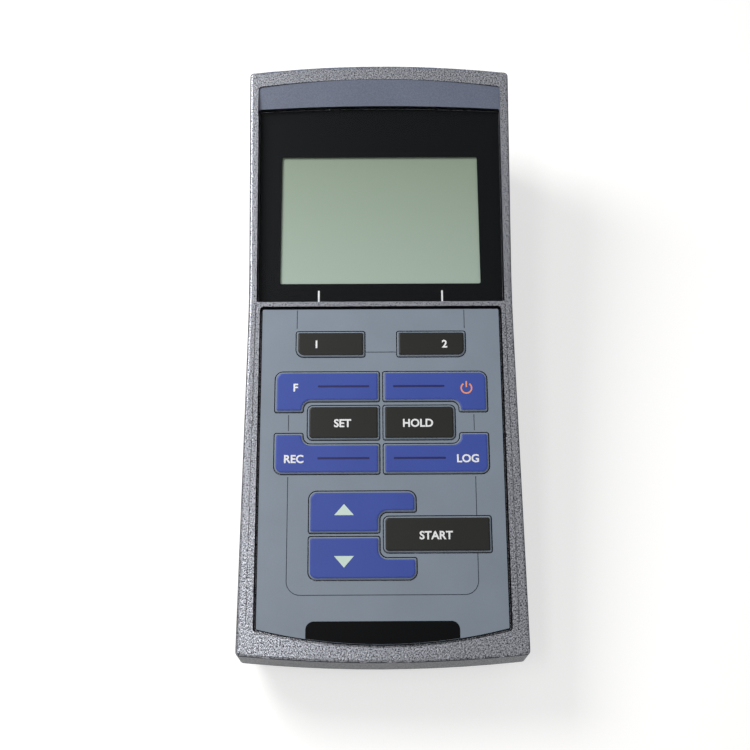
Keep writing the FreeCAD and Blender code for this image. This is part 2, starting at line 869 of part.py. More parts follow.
def lcd_frame():
    """Moulded frame that holds the cell down on the board."""
    outer = box_corners(-frame_half, frame_low_y, frame_half, frame_high_y, small_radius)
    inner = inset(outer, frame_wall)
    view = box_corners(-view_half, view_low_y, view_half, view_high_y, small_radius)
    top = window_back - lcd_gap
    shell = prism(outer, board_top, top)
    return to_rest(shell.cut([
        prism(inner, board_top - 1, top - frame_lip),
        prism(inset(view, -small_radius), board_top - 1, top + 1)]))


def lcd_diffuser():
    """Light plate behind the cell, with a tongue that takes the lamp's light."""
    plate = prism(
        box_corners(
            -lcd_half + lcd_gap, lcd_low_y + 1.5 * strip_width, lcd_half - lcd_gap,
            lcd_high_y - 1.5 * strip_width, small_radius),
        board_top + lcd_gap / 2, diffuser_top)
    return to_rest(plate.makeChamfer(key_edge, level_edges(plate, diffuser_top)))


def lcd_strips():
    """Two elastomer strips that join the cell's contacts to the board."""
    strips = []
    for y in (lcd_low_y, lcd_high_y - strip_width):
        strips.append(to_rest(prism(
            box_corners(-view_half, y, view_half, y + strip_width), board_top, lcd_low)))
    return strips


def keypad_sheet():
    """Soft sheet that fills the keypad field, open round every key."""
    outline = inset(keypad_field, sheet_gap)
    sheet = prism(outline, floor_top, sheet_top)
    sheet = sheet.makeChamfer(sheet_edge, level_edges(sheet, sheet_top))
    cuts = [prism(inset(corners, -key_gap), floor_top - 1, 1) for corners, _ in keys.values()]
    cuts += [prism(line, sheet_top - line_depth, 1) for line in panel_lines()]
    cuts.append(label_form(sheet_top - label_thickness, 1, 0))
    return to_rest(sheet.cut(cuts).removeSplitter())


def panel_lines():
    """Fine grooves that frame the groups of keys."""
    half = line_width / 2
    outer_x, inner_x = side_line_x + half, side_line_x - half
    top = lower_low_y - side_line_end
    frame = [
        (-outer_x, low_line_y - half, low_line_radius + half),
        (outer_x, low_line_y - half, low_line_radius + half),
        (outer_x, top, 0), (inner_x, top, 0),
        (inner_x, low_line_y + half, low_line_radius - half),
        (-inner_x, low_line_y + half, low_line_radius - half),
        (-inner_x, top, 0), (-outer_x, top, 0)]
    lines = [frame, box_corners(-soft_line_half, soft_line_y - half, soft_line_half, soft_line_y + half)]
    runs = [
        (soft_line_x, soft_high_y + 2 * small_radius, keypad_high_y - sheet_gap - 2 * sheet_edge),
        (side_line_x, lower_shoulder_y + side_line_end, upper_shoulder_y - side_line_end)]
    for side in (-1, 1):
        lines += [box_corners(side * x - half, low, side * x + half, high) for x, low, high in runs]
    return lines


def label_form(low, high, gap):
    """Bare strip at the user end of the keypad, cut to the sheet's bowed edge."""
    top = keypad_low_y + label_height
    strip = box_corners(-label_half_width + gap, keypad_low_y - 5, label_half_width - gap, top - gap, 2.3)
    inner = inset(keypad_field, sheet_gap + 1.2 * sheet_edge + gap)
    return prism(strip, low, high).common(prism(inner, low, high))


def label_strip():
    """Black strip let into the sheet."""
    return to_rest(label_form(sheet_top - label_thickness, sheet_top, key_edge / 4))


def key_solid(corners, stem):
    """One key: painted face on a softer base, with a stem and a foot through the deck."""
    x, y = stem
    base = prism(corners, sheet_top - key_skirt, key_base_top)
    base = base.makeChamfer(2 * key_edge, level_edges(base, key_base_top))
    face = prism(inset(corners, key_face_inset), key_base_top - key_edge, key_face_top)
    face = face.makeChamfer(key_edge, level_edges(face, key_face_top))
    foot_top = deck_low - key_stop_gap
    stem_part = upright(x, y, stem_radius, foot_top - foot_thickness, sheet_top - key_skirt)
    foot = upright(x, y, foot_radius, foot_top - foot_thickness, foot_top)
    plunger = upright(x, y, plunger_radius, plunger_low, foot_top - foot_thickness)
    return to_rest(joined([base, face, stem_part, foot, plunger]))


def board_corners():
    """Main board outline inside the front shell."""
    half = waist_half_width - wall - board_gap
    reach = half_length - wall - board_end_gap
    return box_corners(-half, -reach, half, reach, board_corner_radius)


def main_board():
    """Main circuit board, with room for the screw bosses."""
    board = prism(board_corners(), board_low, board_top)
    cuts = [
        upright(x, y, boss_radius + board_gap, board_low - 1, board_top + 1)
        for x, y in shell_screw_places]
    cuts += [
        upright(x, y, board_screw_radius + screw_gap, board_low - 1, board_top + 1)
        for x, y in board_post_places]
    return to_rest(board.cut(cuts))


def board_screws():
    """Six small screws that hold the main board to the front shell."""
    screws = []
    for x, y in board_post_places:
        head = upright(x, y, board_screw_head_radius, board_low - board_screw_head_height, board_low)
        shank = upright(x, y, board_screw_radius, board_low, deck_low - 2 * small_radius)
        screws.append(to_rest(head.fuse(shank).removeSplitter()))
    return screws


def key_domes():
    """Flat snap domes on the board, one under each key."""
    return [to_rest(upright(x, y, dome_radius, board_top, dome_top)) for _, (x, y) in keys.values()]


def chip(x, y, half, height):
    """Chip on the lower side of the main board, with its rows of legs as a thin step."""
    body = prism(box_corners(x - half, y - half, x + half, y + half), board_low - height, board_low)
    body = body.makeChamfer(chip_edge, level_edges(body, board_low - height))
    reach = half + chip_leg
    legs = box_corners(x - reach, y - reach, x + reach, y + reach)
    return to_rest(joined([body, prism(legs, board_low - chip_leg_thickness, board_low)]))


def small_chips():
    """Amplifier, memory and regulator chips."""
    return [
        chip(small_chip_x, amplifier_y, amplifier_half, small_chip_height),
        chip(small_chip_x, memory_y, memory_half, small_chip_height),
        chip(-small_chip_x, regulator_y, regulator_half, small_chip_height)]


def buzzer():
    """Round buzzer for the key tone, with its sound hole."""
    low = board_low - buzzer_height
    can = upright(buzzer_x, buzzer_y, buzzer_radius, low, board_low)
    hole = upright(buzzer_x, buzzer_y, buzzer_hole_radius, low - 1, low + buzzer_hole_radius)
    return to_rest(can.cut(hole))


socket_outer_radius = socket_bore_radius + socket_wall
socket_front = pad_face + socket_flange_height
insert_front = socket_front - socket_bore_length
insert_back = insert_front - insert_length
socket_board_front = insert_back - socket_board_gap
socket_board_back = socket_board_front - board_thickness


def socket_shell():
    """Metal shell of the measuring socket, with its flange and a narrower seat for the insert."""
    flange = socket_cylinder(socket_flange_radius, pad_face, socket_front)
    flange = flange.makeChamfer(small_radius, [
        edge for edge in flange.Edges if abs(edge.BoundBox.YMin - socket_front) < 0.01])
    body = joined([socket_cylinder(socket_outer_radius, insert_back, socket_front), flange])
    return to_rest(body.cut([
        ring_form(0, pad_face - 1),
        socket_cylinder(insert_radius, insert_back - 1, socket_front),
        socket_cylinder(socket_bore_radius, insert_front, socket_front + 1),
        socket_cylinder(socket_bore_radius + small_radius, socket_front - small_radius, socket_front + 1)]))


def ring_form(gap, low):
    """Band under the socket's flange, half a width in from its edge, shrunk by a gap."""
    outer = socket_cylinder(socket_flange_radius - ring_width / 2 - gap, low, pad_face + ring_height)
    return outer.cut(socket_cylinder(socket_flange_radius - 1.5 * ring_width + gap, low - 1, socket_front))


def socket_ring():
    """Seal ring in the groove under the socket's flange."""
    return to_rest(ring_form(seal_gap, pad_face))


def socket_nut():
    """Hexagon nut behind the panel."""
    across = nut_flats / math.sqrt(3)
    corners = []
    for step in range(6):
        angle = math.radians(60 * step)
        corners.append((
            socket_x + across * math.cos(angle), -socket_depth + across * math.sin(angle), small_radius))
    nut = end_prism(corners, pad_back - nut_thickness, pad_back)
    return to_rest(nut.cut(socket_cylinder(
        socket_outer_radius + screw_gap, pad_back - nut_thickness - 1, pad_back + 1)))


def contact_places():
    """Eight contacts of the measuring socket: seven round one."""
    places = [(socket_x, -socket_depth)]
    for step in range(7):
        angle = math.radians(90 + step * 360 / 7)
        places.append((
            socket_x + contact_circle_radius * math.cos(angle),
            -socket_depth + contact_circle_radius * math.sin(angle)))
    return places


def socket_insert():
    """Insulating insert that carries the contacts."""
    body = socket_cylinder(insert_radius - insert_gap, insert_back, insert_front)
    return to_rest(body.cut([
        along_y(x, z, contact_radius + insert_gap, insert_back - 1, insert_front + 1)
        for x, z in contact_places()]))


def socket_contacts():
    """Eight sleeve contacts that end in the socket board."""
    contacts = []
    for x, z in contact_places():
        sleeve = along_y(x, z, contact_radius, socket_board_back, insert_front - small_radius)
        contacts.append(to_rest(sleeve.cut(
            along_y(x, z, contact_hole_radius, insert_back + 1, insert_front))))
    return contacts


def socket_board():
    """Small upright board behind the two sockets, above the battery bay's ceiling."""
    half = corner_screw_x - tube_radius - socket_board_side_gap
    ceiling = bay_top + bay_ceiling + socket_board_bay_gap
    low = (ceiling - rest_point(0, socket_board_back, 0).z) / math.cos(tilt)
    board = end_prism(
        box_corners(-half, low, half, board_low - socket_board_drop, 2 * small_radius),
        socket_board_back, socket_board_front)
    return to_rest(board.cut([
        along_y(x, z, contact_radius + insert_gap, socket_board_back - 1, socket_board_front + 1)
        for x, z in contact_places()]))


def board_link():
    """Pin strip that carries the socket board on the main board."""
    block = prism(
        box_corners(-link_half, socket_board_back - link_depth, link_half, socket_board_back),
        board_low - link_height, board_low)
    return to_rest(block)


def usb_corners(shrink):
    """USB shell in x and z: a rectangle with two bevelled lower corners."""
    left, right = usb_x - usb_width / 2 + shrink, usb_x + usb_width / 2 - shrink
    low, high = -usb_depth - usb_height / 2 + shrink, -usb_depth + usb_height / 2 - shrink
    return [
        (left + usb_bevel, low, 0), (right - usb_bevel, low, 0), (right, low + usb_bevel, 0),
        (right, high, 0), (left, high, 0), (left, low + usb_bevel, 0)]


usb_front = pad_face - flap_plug_depth - 3 * flap_gap


def usb_socket():
    """Metal shell of the USB socket with its contact tongue."""
    shell = end_prism(usb_corners(0), socket_board_front, usb_front)
    hollow = end_prism(usb_corners(usb_wall), usb_front - usb_length + 3, usb_front + 1)
    tongue = end_prism(
        box_corners(
            usb_x - usb_tongue_half, -usb_depth - usb_tongue_thickness / 2,
            usb_x + usb_tongue_half, -usb_depth + usb_tongue_thickness / 2),
        socket_board_front + 1, usb_front - 1)
    return to_rest(joined([shell.cut(hollow), tongue]))


hinge_y = pad_face + flap_gap + hinge_radius
hinge_z = -usb_depth - flap_height / 2 - hinge_radius


def usb_flap():
    """Rubber flap with a plug that closes the USB opening and a lip to lift it by."""
    plate = end_prism(
        box_corners(
            usb_x - flap_width / 2, -usb_depth - flap_height / 2, usb_x + flap_width / 2,
            -usb_depth + flap_height / 2, flap_corner_radius),
        pad_face + flap_gap, pad_face + flap_gap + flap_thickness)
    plate = plate.makeChamfer(small_radius, [
        edge for edge in plate.Edges
        if abs(edge.BoundBox.YMin - pad_face - flap_gap - flap_thickness) < 0.01])
    plug = end_prism(inset(usb_opening, flap_plug_gap), pad_face - flap_plug_depth, pad_face + flap_gap)
    lip_z = -usb_depth + flap_height / 2
    lip = end_prism(
        box_corners(
            usb_x - flap_lip_half, lip_z - flap_lip_reach / 2, usb_x + flap_lip_half, lip_z + flap_lip_reach,
            flap_corner_radius / 2),
        pad_face + flap_gap, pad_face + flap_gap + flap_thickness / 2)
    strap_x = usb_x - strap_half_width
    strap = end_prism(
        box_corners(strap_x, hinge_z, usb_x + strap_half_width, -usb_depth - flap_height / 2 + 1),
        hinge_y - small_radius, hinge_y + small_radius)
    barrel = Part.makeCylinder(
        hinge_radius, 2 * strap_half_width, Vector(strap_x, hinge_y, hinge_z), Vector(1, 0, 0))
    return to_rest(joined([plate, plug, lip, strap, barrel]))


def anchor_peg(grow):
    """Peg that holds the flap's anchor in the end wall."""
    return along_y(usb_x, hinge_z - anchor_height, stem_radius / 2 + grow, pad_back - 1, pad_face + 1)


def flap_anchor():
    """Fixed end of the flap, pegged into the housing."""
    bar = end_prism(
        box_corners(
            usb_x - flap_width / 2 + 1, hinge_z - hinge_radius - anchor_height, usb_x + flap_width / 2 - 1,
            hinge_z - hinge_radius - 2 * flap_gap, 1.0), pad_face, pad_face + flap_gap + flap_thickness)
    knuckle = hinge_radius - flap_gap
    ears = []
    for x in (usb_x - strap_half_width - flap_gap - ear_width, usb_x + strap_half_width + flap_gap):
        ears.append(Part.makeCylinder(knuckle, ear_width, Vector(x, hinge_y, hinge_z), Vector(1, 0, 0)))
        ears.append(end_prism(
            box_corners(x, hinge_z - hinge_radius - 1, x + ear_width, hinge_z),
            hinge_y - knuckle, hinge_y + knuckle))
    return to_rest(joined([bar, anchor_peg(0)] + ears))


def battery_cells():
    """Four round cells side by side, turned about one by one."""
    cells = []
    for index, y in enumerate(cell_places):
        side = 1 if index % 2 == 0 else -1
        plus_x = bay_half - contact_thickness - contact_play
        axis = Vector(-1, 0, 0)
        body = Part.makeCylinder(
            cell_radius, cell_length - cell_nub_length, Vector(plus_x - cell_nub_length, y, cell_z), axis)
        nub = Part.makeCylinder(cell_nub_radius, cell_nub_length + 1, Vector(plus_x, y, cell_z), axis)
        cell = body.fuse(nub).removeSplitter()
        if side < 0:
            cell = cell.mirror(Vector(0, 0, 0), Vector(1, 0, 0))
        cells.append(cell)
    return cells


def contact_plates():
    """Plates at the cells' ends that join them in a row."""
    plates = []
    groups = {1: ((0, 0), (1, 2), (3, 3)), -1: ((0, 1), (2, 3))}
    for side, pairs in groups.items():
        for first, last in pairs:
            low_y = cell_places[first] - cell_radius + 1
            high_y = cell_places[last] + cell_radius - 1
            x = bay_half - contact_thickness if side > 0 else -bay_half
            plates.append(Part.makeBox(
                contact_thickness, high_y - low_y, 2 * contact_half_height,
                Vector(x, low_y, cell_z - contact_half_height)))
    return plates


def contact_springs():
    """Bowed leaf springs at the cells' flat ends."""
    springs = []
    wall_x = bay_half - contact_thickness
    half = 0.6 * cell_radius
    for index, y in enumerate(cell_places):
        arch = [
            (wall_x, -half, 0), (wall_x - spring_reach, -half / 5, 1.5),
            (wall_x - spring_reach, half / 5, 1.5), (wall_x, half, 0),
            (wall_x, half - 2 * spring_thickness, 0),
            (wall_x - spring_reach + spring_thickness, half / 6, 1.0),
            (wall_x - spring_reach + spring_thickness, -half / 6, 1.0),
            (wall_x, -half + 2 * spring_thickness, 0)]
        spring = end_prism(
            [(x, z + cell_z, radius) for x, z, radius in arch], y - spring_width / 2, y + spring_width / 2)
        if index % 2 == 0:
            spring = spring.mirror(Vector(0, 0, 0), Vector(1, 0, 0))
        springs.append(spring)
    return springs


def battery_cover():
    """Battery cover: flush plate with ears for two captive screws, a thumb hollow and a seal groove."""
    plate = cover_form(0, foot_height, cover_top)
    plate = plate.makeChamfer(cover_edge, level_edges(plate, foot_height))
    cuts = [cover_seal_ring(seal_gap, cover_top - cover_seal_height, cover_top + 1)]
    for x, y in ear_places:
        cuts.append(upright(
            x, y, cover_screw_head_radius + cover_screw_gap, foot_height - 1,
            foot_height + cover_screw_head_height))
        cuts.append(upright(x, y, cover_screw_radius + cover_screw_gap, foot_height - 1, cover_top + 1))
    thumb_start = Vector(
        -thumb_length / 2, bay_high_y - thumb_radius / 2, foot_height + thumb_depth - thumb_radius)
    cuts.append(Part.makeCylinder(thumb_radius, thumb_length, thumb_start, Vector(1, 0, 0)))
    return plate.cut(cuts).removeSplitter()


def cover_seal_ring(grow, low, high):
    """Band for the cover's seal, halfway along the ledge."""
    middle = bay_half + cover_ledge / 2
    half = cover_seal_width / 2 + grow
    y_low, y_high = bay_low_y - cover_ledge / 2, bay_high_y + cover_ledge / 2
    outer = box_corners(-middle - half, y_low - half, middle + half, y_high + half, 1.8 + grow)
    return prism(outer, low, high).cut(prism(inset(outer, 2 * half), low, high))


def cover_seal():
    """Flat seal that rides in the cover's groove."""
    return cover_seal_ring(0, cover_top - cover_seal_height, cover_top + cover_seal_proud)


def cover_screw(place):
    """Captive slotted screw in one ear of the cover."""
    x, y = place
    head_top = foot_height + cover_screw_head_height
    head = upright(x, y, cover_screw_head_radius, foot_height + small_radius / 5, head_top)
    shank = upright(x, y, cover_screw_radius, head_top, cover_top + cover_screw_length - small_radius)
    slot = slot_form(
        x, y, cover_screw_head_radius, cover_slot_width, foot_height, 0.6 * cover_screw_head_height)
    return head.fuse(shank).cut(slot).removeSplitter()


def build_pieces():
    """Every piece by name, in the rest frame: a solid, or a list of separate solids."""
    pieces = {
        "front_housing": to_rest(front_housing()),
        "rear_housing": rear_housing(),
        "housing_seal": housing_seal(),
        "housing_screws": housing_screws(),
        "rubber_feet": rubber_feet(),
        "display_window": display_window(),
        "lcd_frame": lcd_frame(),
        "lcd_glass": lcd_glass(),
        "lcd_diffuser": lcd_diffuser(),
        "lcd_contact_strips": lcd_strips(),
        "keypad_sheet": keypad_sheet(),
        "label_strip": label_strip(),
        "main_board": main_board(),
        "board_screws": board_screws(),
        "key_domes": key_domes(),
        "processor": chip(processor_x, processor_y, processor_half, processor_height),
        "small_chips": small_chips(),
        "buzzer": buzzer(),
        "socket_board": socket_board(),
        "board_link": board_link(),
        "socket_shell": socket_shell(),
        "socket_insert": socket_insert(),
        "socket_contacts": socket_contacts(),
        "socket_nut": socket_nut(),
        "socket_ring": socket_ring(),
        "usb_socket": usb_socket(),
        "flap_anchor": flap_anchor(),
        "usb_flap": usb_flap(),
        "battery_cells": battery_cells(),
        "contact_plates": contact_plates(),
        "contact_springs": contact_springs(),
        "battery_cover": battery_cover(),
        "cover_seal": cover_seal(),
        "cover_screw_near": cover_screw(ear_places[0]),
        "cover_screw_far": cover_screw(ear_places[1]),
    }
    for name, (corners, stem) in keys.items():
        pieces[name] = key_solid(corners, stem)
    return pieces


def as_shape(piece):
    """One shape for a node, whether it is one solid or a group."""
    return Part.Compound(piece) if isinstance(piece, list) else piece


pieces = {name: as_shape(piece) for name, piece in build_pieces().items()}
middle_y = Part.Compound(list(pieces.values())).optimalBoundingBox(False, False).Center.y

os.makedirs("parts", exist_ok=True)
for name, shape in pieces.items():
    shape.translate(Vector(0, -middle_y, 0))
    shape.exportStep("parts/" + name + ".step")
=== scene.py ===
"""Portable conductivity meter: finishes, finer pieces, studio light and camera.

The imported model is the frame. Every piece is made in the frame's own place, in metres. Sizes
in the classes are millimetres and lie in the face frame unless their docstring says otherwise:
x to the right, y towards the display end, z out of the keypad face, z = 0 on the rim.
"""

import json
import logging
import math
from collections.abc import Callable, Sequence
from dataclasses import dataclass, field
from enum import Enum, IntEnum

import bmesh
import bpy
from mathutils import Matrix, Vector

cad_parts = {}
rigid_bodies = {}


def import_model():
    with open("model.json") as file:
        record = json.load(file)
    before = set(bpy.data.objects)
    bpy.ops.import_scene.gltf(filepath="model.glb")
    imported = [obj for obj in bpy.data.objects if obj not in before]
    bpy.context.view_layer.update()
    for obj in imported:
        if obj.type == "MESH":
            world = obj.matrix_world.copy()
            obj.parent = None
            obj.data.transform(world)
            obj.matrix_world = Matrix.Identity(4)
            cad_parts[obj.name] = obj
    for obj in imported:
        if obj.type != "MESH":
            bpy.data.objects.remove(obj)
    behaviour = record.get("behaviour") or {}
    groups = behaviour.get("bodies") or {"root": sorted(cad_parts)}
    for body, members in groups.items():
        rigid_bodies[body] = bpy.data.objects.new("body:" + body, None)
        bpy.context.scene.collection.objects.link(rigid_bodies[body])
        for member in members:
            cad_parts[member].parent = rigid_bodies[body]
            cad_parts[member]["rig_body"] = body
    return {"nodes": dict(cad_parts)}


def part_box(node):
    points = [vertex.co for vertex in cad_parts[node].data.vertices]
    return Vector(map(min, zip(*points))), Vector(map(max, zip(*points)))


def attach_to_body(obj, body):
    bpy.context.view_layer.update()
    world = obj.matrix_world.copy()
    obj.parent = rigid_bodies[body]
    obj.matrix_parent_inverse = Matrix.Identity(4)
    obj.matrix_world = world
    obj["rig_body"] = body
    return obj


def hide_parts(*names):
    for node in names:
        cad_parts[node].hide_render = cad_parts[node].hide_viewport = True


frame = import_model()

MM = 0.001
log = logging.getLogger("meter")

Point = tuple[float, float]
Corner = tuple[float, float, float]
Color = tuple[float, float, float, float]
Piece = bpy.types.Object
Material = bpy.types.Material
Node = bpy.types.Node
Socket = bpy.types.NodeSocket


class Body(Enum):
    """Bodies of the frame that pieces other than keys ride on."""

    HOUSING = "housing"
    COVER = "cover"


class Grain(Enum):
    """Kinds of fine surface pattern."""

    SPARK = "spark"
    FINE = "fine"
    BRUSHED = "brushed"


def written(red: int, green: int, blue: int) -> Color:
    """Linear colour of an 8-bit one.

    Args:
        red, green, blue: Channels from 0 to 255.

    Returns:
        The colour as the shader takes it, with full alpha.
    """
    channels = []
    for value in (red, green, blue):
        share = value / 255
        channels.append(share / 12.92 if share <= 0.04045 else ((share + 0.055) / 1.055) ** 2.4)
    return (channels[0], channels[1], channels[2], 1.0)


# Places

@dataclass(frozen=True)
class FaceFrame:
    """Frame of the keypad face, found from the main board, whose middle lies below its origin."""

    tilt_deg: float = 10.0
    board_depth: float = 8.15

    @property
    def turn(self) -> Matrix:
        """Turn from the face frame to the row frame."""
        return Matrix.Rotation(math.radians(self.tilt_deg), 4, "X")

    @property
    def matrix(self) -> Matrix:
        """Place of the face frame in the row frame, both in metres."""
        low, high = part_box("main_board")
        rise = Matrix.Translation((0, 0, self.board_depth * MM))
        return Matrix.Translation((low + high) / 2) @ self.turn @ rise


FACE = FaceFrame().matrix
FROM_ROW = FACE.inverted()


# Meshes

def rounded_outline(corners: Sequence[Corner], steps: int = 6) -> list[Point]:
    """Outline through corners that are rounded by arcs.

    Args:
        corners: x, y and radius of each corner, anticlockwise.
        steps: Pieces in each arc.

    Returns:
        Points of the outline.
    """
    points: list[Point] = []
    for index, (x, y, radius) in enumerate(corners):
        here = Vector((x, y))
        before = Vector(corners[index - 1][:2]) - here
        after = Vector(corners[(index + 1) % len(corners)][:2]) - here
        if radius <= 0:
            points.append((x, y))
            continue
        before.normalize()
        after.normalize()
        half = before.angle(after) / 2
        middle = here + (before + after).normalized() * (radius / math.sin(half))
        first = here + before * (radius / math.tan(half)) - middle
        last = here + after * (radius / math.tan(half)) - middle
        start = math.atan2(first.y, first.x)
        sweep = (math.atan2(last.y, last.x) - start + math.pi) % (2 * math.pi) - math.pi
        for step in range(steps + 1):
            angle = start + sweep * step / steps
            points.append((middle.x + radius * math.cos(angle), middle.y + radius * math.sin(angle)))
    return points


def box_corners(
    x_low: float, y_low: float, x_high: float, y_high: float, radius: float = 0.0,
) -> list[Corner]:
    """Anticlockwise corners of a rectangle."""
    places = ((x_low, y_low), (x_high, y_low), (x_high, y_high), (x_low, y_high))
    return [(x, y, radius) for x, y in places]


def shown(name: str, mesh: bpy.types.Mesh) -> Piece:
    """Object at the origin that shows a mesh.

    Args:
        name: Name of the piece.
        mesh: Its mesh, already in place.

    Returns:
        The new object.
    """
    piece = bpy.data.objects.new(name, mesh)
    bpy.context.scene.collection.objects.link(piece)
    return piece


def from_bmesh(name: str, shape: bmesh.types.BMesh, place: Matrix = FACE) -> Piece:
    """Turn a finished bmesh into a piece.

    Args:
        name: Name of the piece.
        shape: The mesh in metres, which is freed.
        place: Where its own frame lies in the row frame.

    Returns:
        The piece, with its place in its mesh.
    """
    mesh = bpy.data.meshes.new(name)
    shape.to_mesh(mesh)
    shape.free()
    mesh.transform(place)
    return shown(name, mesh)


def flat_piece(
    name: str, outlines: Sequence[Sequence[Point]], low: float, high: float, place: Matrix = FACE,
) -> Piece:
    """Flat plate, open where the later outlines are.

    Args:
        name: Name of the piece.
        outlines: Outer outline, then those of its holes.
        low: Height of its lower face.
        high: Height of its upper face.
        place: Where its frame lies in the row frame.

    Returns:
        The piece.
    """
    shape = bmesh.new()
    for outline in outlines:
        ring = [shape.verts.new((x * MM, y * MM, low * MM)) for x, y in outline]
        if len(outlines) == 1:
            shape.faces.new(ring)
        else:
            for first, last in zip(ring, ring[1:] + ring[:1]):
                shape.edges.new((first, last))
    if len(outlines) > 1:
        bmesh.ops.triangle_fill(shape, use_beauty=True, edges=shape.edges[:])
    grown = bmesh.ops.extrude_face_region(shape, geom=shape.faces[:])["geom"]
    raised = [item for item in grown if isinstance(item, bmesh.types.BMVert)]
    bmesh.ops.translate(shape, verts=raised, vec=(0, 0, (high - low) * MM))
    bmesh.ops.recalc_face_normals(shape, faces=shape.faces[:])
    return from_bmesh(name, shape, place)


def letters(name: str, text: str, height: float, x: float, y: float, z: float) -> Piece:
    """Printed word on a key.

    Args:
        name: Name of the piece.
        text: What it says.
        height: Height of its capitals.
        x, y, z: Its middle on the surface that it is printed on.

    Returns:
        The piece, as a mesh.
    """
    capital_share = 0.73
    stroke_growth = 0.036
    ink_half = 0.01
    ink_lift = 0.012
    curve = bpy.data.curves.new(name, "FONT")
    curve.body = text
    curve.size = height / capital_share * MM
    curve.align_x = "CENTER"
    curve.resolution_u = 4
    curve.offset = stroke_growth * height * MM
    curve.extrude = ink_half * MM
    word = shown(name + "_curve", curve)
    bpy.context.view_layer.update()
    evaluated = word.evaluated_get(bpy.context.evaluated_depsgraph_get())
    mesh = bpy.data.meshes.new_from_object(evaluated)
    bpy.data.objects.remove(word)
    mesh.transform(FACE @ Matrix.Translation((x * MM, (y - height / 2) * MM, (z + ink_lift) * MM)))
    return shown(name, mesh)


def refined(node: str, crease_deg: float = 32.0) -> Piece:
    """Copy of a CAD node with joined facets and soft shading, which stands for the node.

    Args:
        node: Name of the node.
        crease_deg: Angle from which an edge stays sharp.

    Returns:
        The copy, riding on the node's body.
    """
    weld, sliver = 0.002, 0.001
    source = frame["nodes"][node]
    shape = bmesh.new()
    shape.from_mesh(source.data)
    bmesh.ops.remove_doubles(shape, verts=shape.verts, dist=weld * MM)
    bmesh.ops.dissolve_degenerate(shape, edges=shape.edges, dist=sliver * MM)
    piece = from_bmesh(node + "_finished", shape, Matrix.Identity(4))
    mesh = piece.data
    for name in ("custom_normal", "sharp_face"):
        if name in mesh.attributes:
            mesh.attributes.remove(mesh.attributes[name])
    mesh.materials.clear()
    mesh.shade_smooth()
    mesh.set_sharp_from_angle(angle=math.radians(crease_deg))
    weighted = piece.modifiers.new("even shading", "WEIGHTED_NORMAL")
    weighted.keep_sharp = True
    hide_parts(node)
    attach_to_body(piece, source["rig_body"])
    return piece


def paint_faces(
    piece: Piece, materials: Sequence[Material],
    choose: Callable[[Vector, Vector], int],
) -> None:
    """Give each face of a piece one of several materials.

    Args:
        piece: The piece.
        materials: Its material slots.
        choose: Slot for a face, from its middle in face millimetres and its normal there.
    """
    for material in materials:
        piece.data.materials.append(material)
    turn = FROM_ROW.to_3x3()
    for face in piece.data.polygons:
        middle = (FROM_ROW @ face.center) / MM
        face.material_index = choose(middle, turn @ face.normal)


@dataclass(frozen=True)
class TightCorners:
    """Outer corners of the two shells, which are tighter on the meter than in its solids."""

    depth: float = 13.0
    half: float = 40.07
    user_y: float = -88.0
    display_y: float = 87.6
    side_flare: float = 0.2
    user_flare: float = 1.8
    seam_step: float = 0.15
    side_draft: float = 0.0454
    user_draft: float = 0.249
    display_draft: float = 0.035
    side_slope: float = 0.015
    end_slope: float = 0.094
    radius: float = 2.4
    radius_growth: float = 0.192
    cut: float = 1.15
    fade: float = 9.0
    sector_slack: float = 0.02
    skin: float = 0.5

    def corner(self, at: Vector) -> tuple[Vector, float, float]:
        """Sharp corner of the outline nearest to a point, at the point's depth.

        Args:
            at: The point in the face frame.

        Returns:
            The corner, the radius of the solid's rounding there and how much of it is taken off.
        """
        share = min(max(-at.z / self.depth, 0.0), 1.0)
        drop = max(-at.z - self.depth, 0.0)
        step = self.seam_step if drop > 0 else 0.0
        side = self.half + self.side_flare * share - step - self.side_draft * drop
        if at.y < 0:
            end = self.user_y - self.user_flare * share + step + self.user_draft * drop
        else:
            end = self.display_y + self.side_flare * share - step - self.display_draft * drop
        left = self.cut * max(1 - drop / self.fade, 0.0)
        return Vector((math.copysign(side, at.x), end)), self.radius + self.radius_growth * drop, left

    def moved(self, at: Vector) -> Vector:
        """Place of a point once its corner is tight.

        Args:
            at: The point in the face frame, in millimetres.

        Returns:
            Its new place, which is the same away from the corners.
        """
        corner, radius, left = self.corner(at)
        across = Vector((math.copysign(1.0, at.x), math.copysign(self.side_slope, at.y))).normalized()
        along = Vector((math.copysign(self.end_slope, at.x), math.copysign(1.0, at.y))).normalized()
        inward = (across + along) / (1 + across.dot(along))
        middle = corner - inward * radius
        offset = Vector(at.xy) - middle
        turn = across.cross(along)
        if left <= 0 or min(offset.cross(along) / turn, across.cross(offset) / turn) < -self.sector_slack:
            return at
        far = offset.length
        if far > radius + self.skin:
            return at
        target = middle + inward * left
        if far >= left:
            target += offset * ((far - left) / far)
        else:
            target -= inward * left * (1 - far / left)
        return Vector((target.x, target.y, at.z))

    def apply(self, piece: Piece) -> Piece:
        """Tighten the corners of a shell.

        Args:
            piece: The shell.

        Returns:
            The same shell.
        """
        for vertex in piece.data.vertices:
            vertex.co = FACE @ (self.moved((FROM_ROW @ vertex.co) / MM) * MM)
        return piece


# Materials

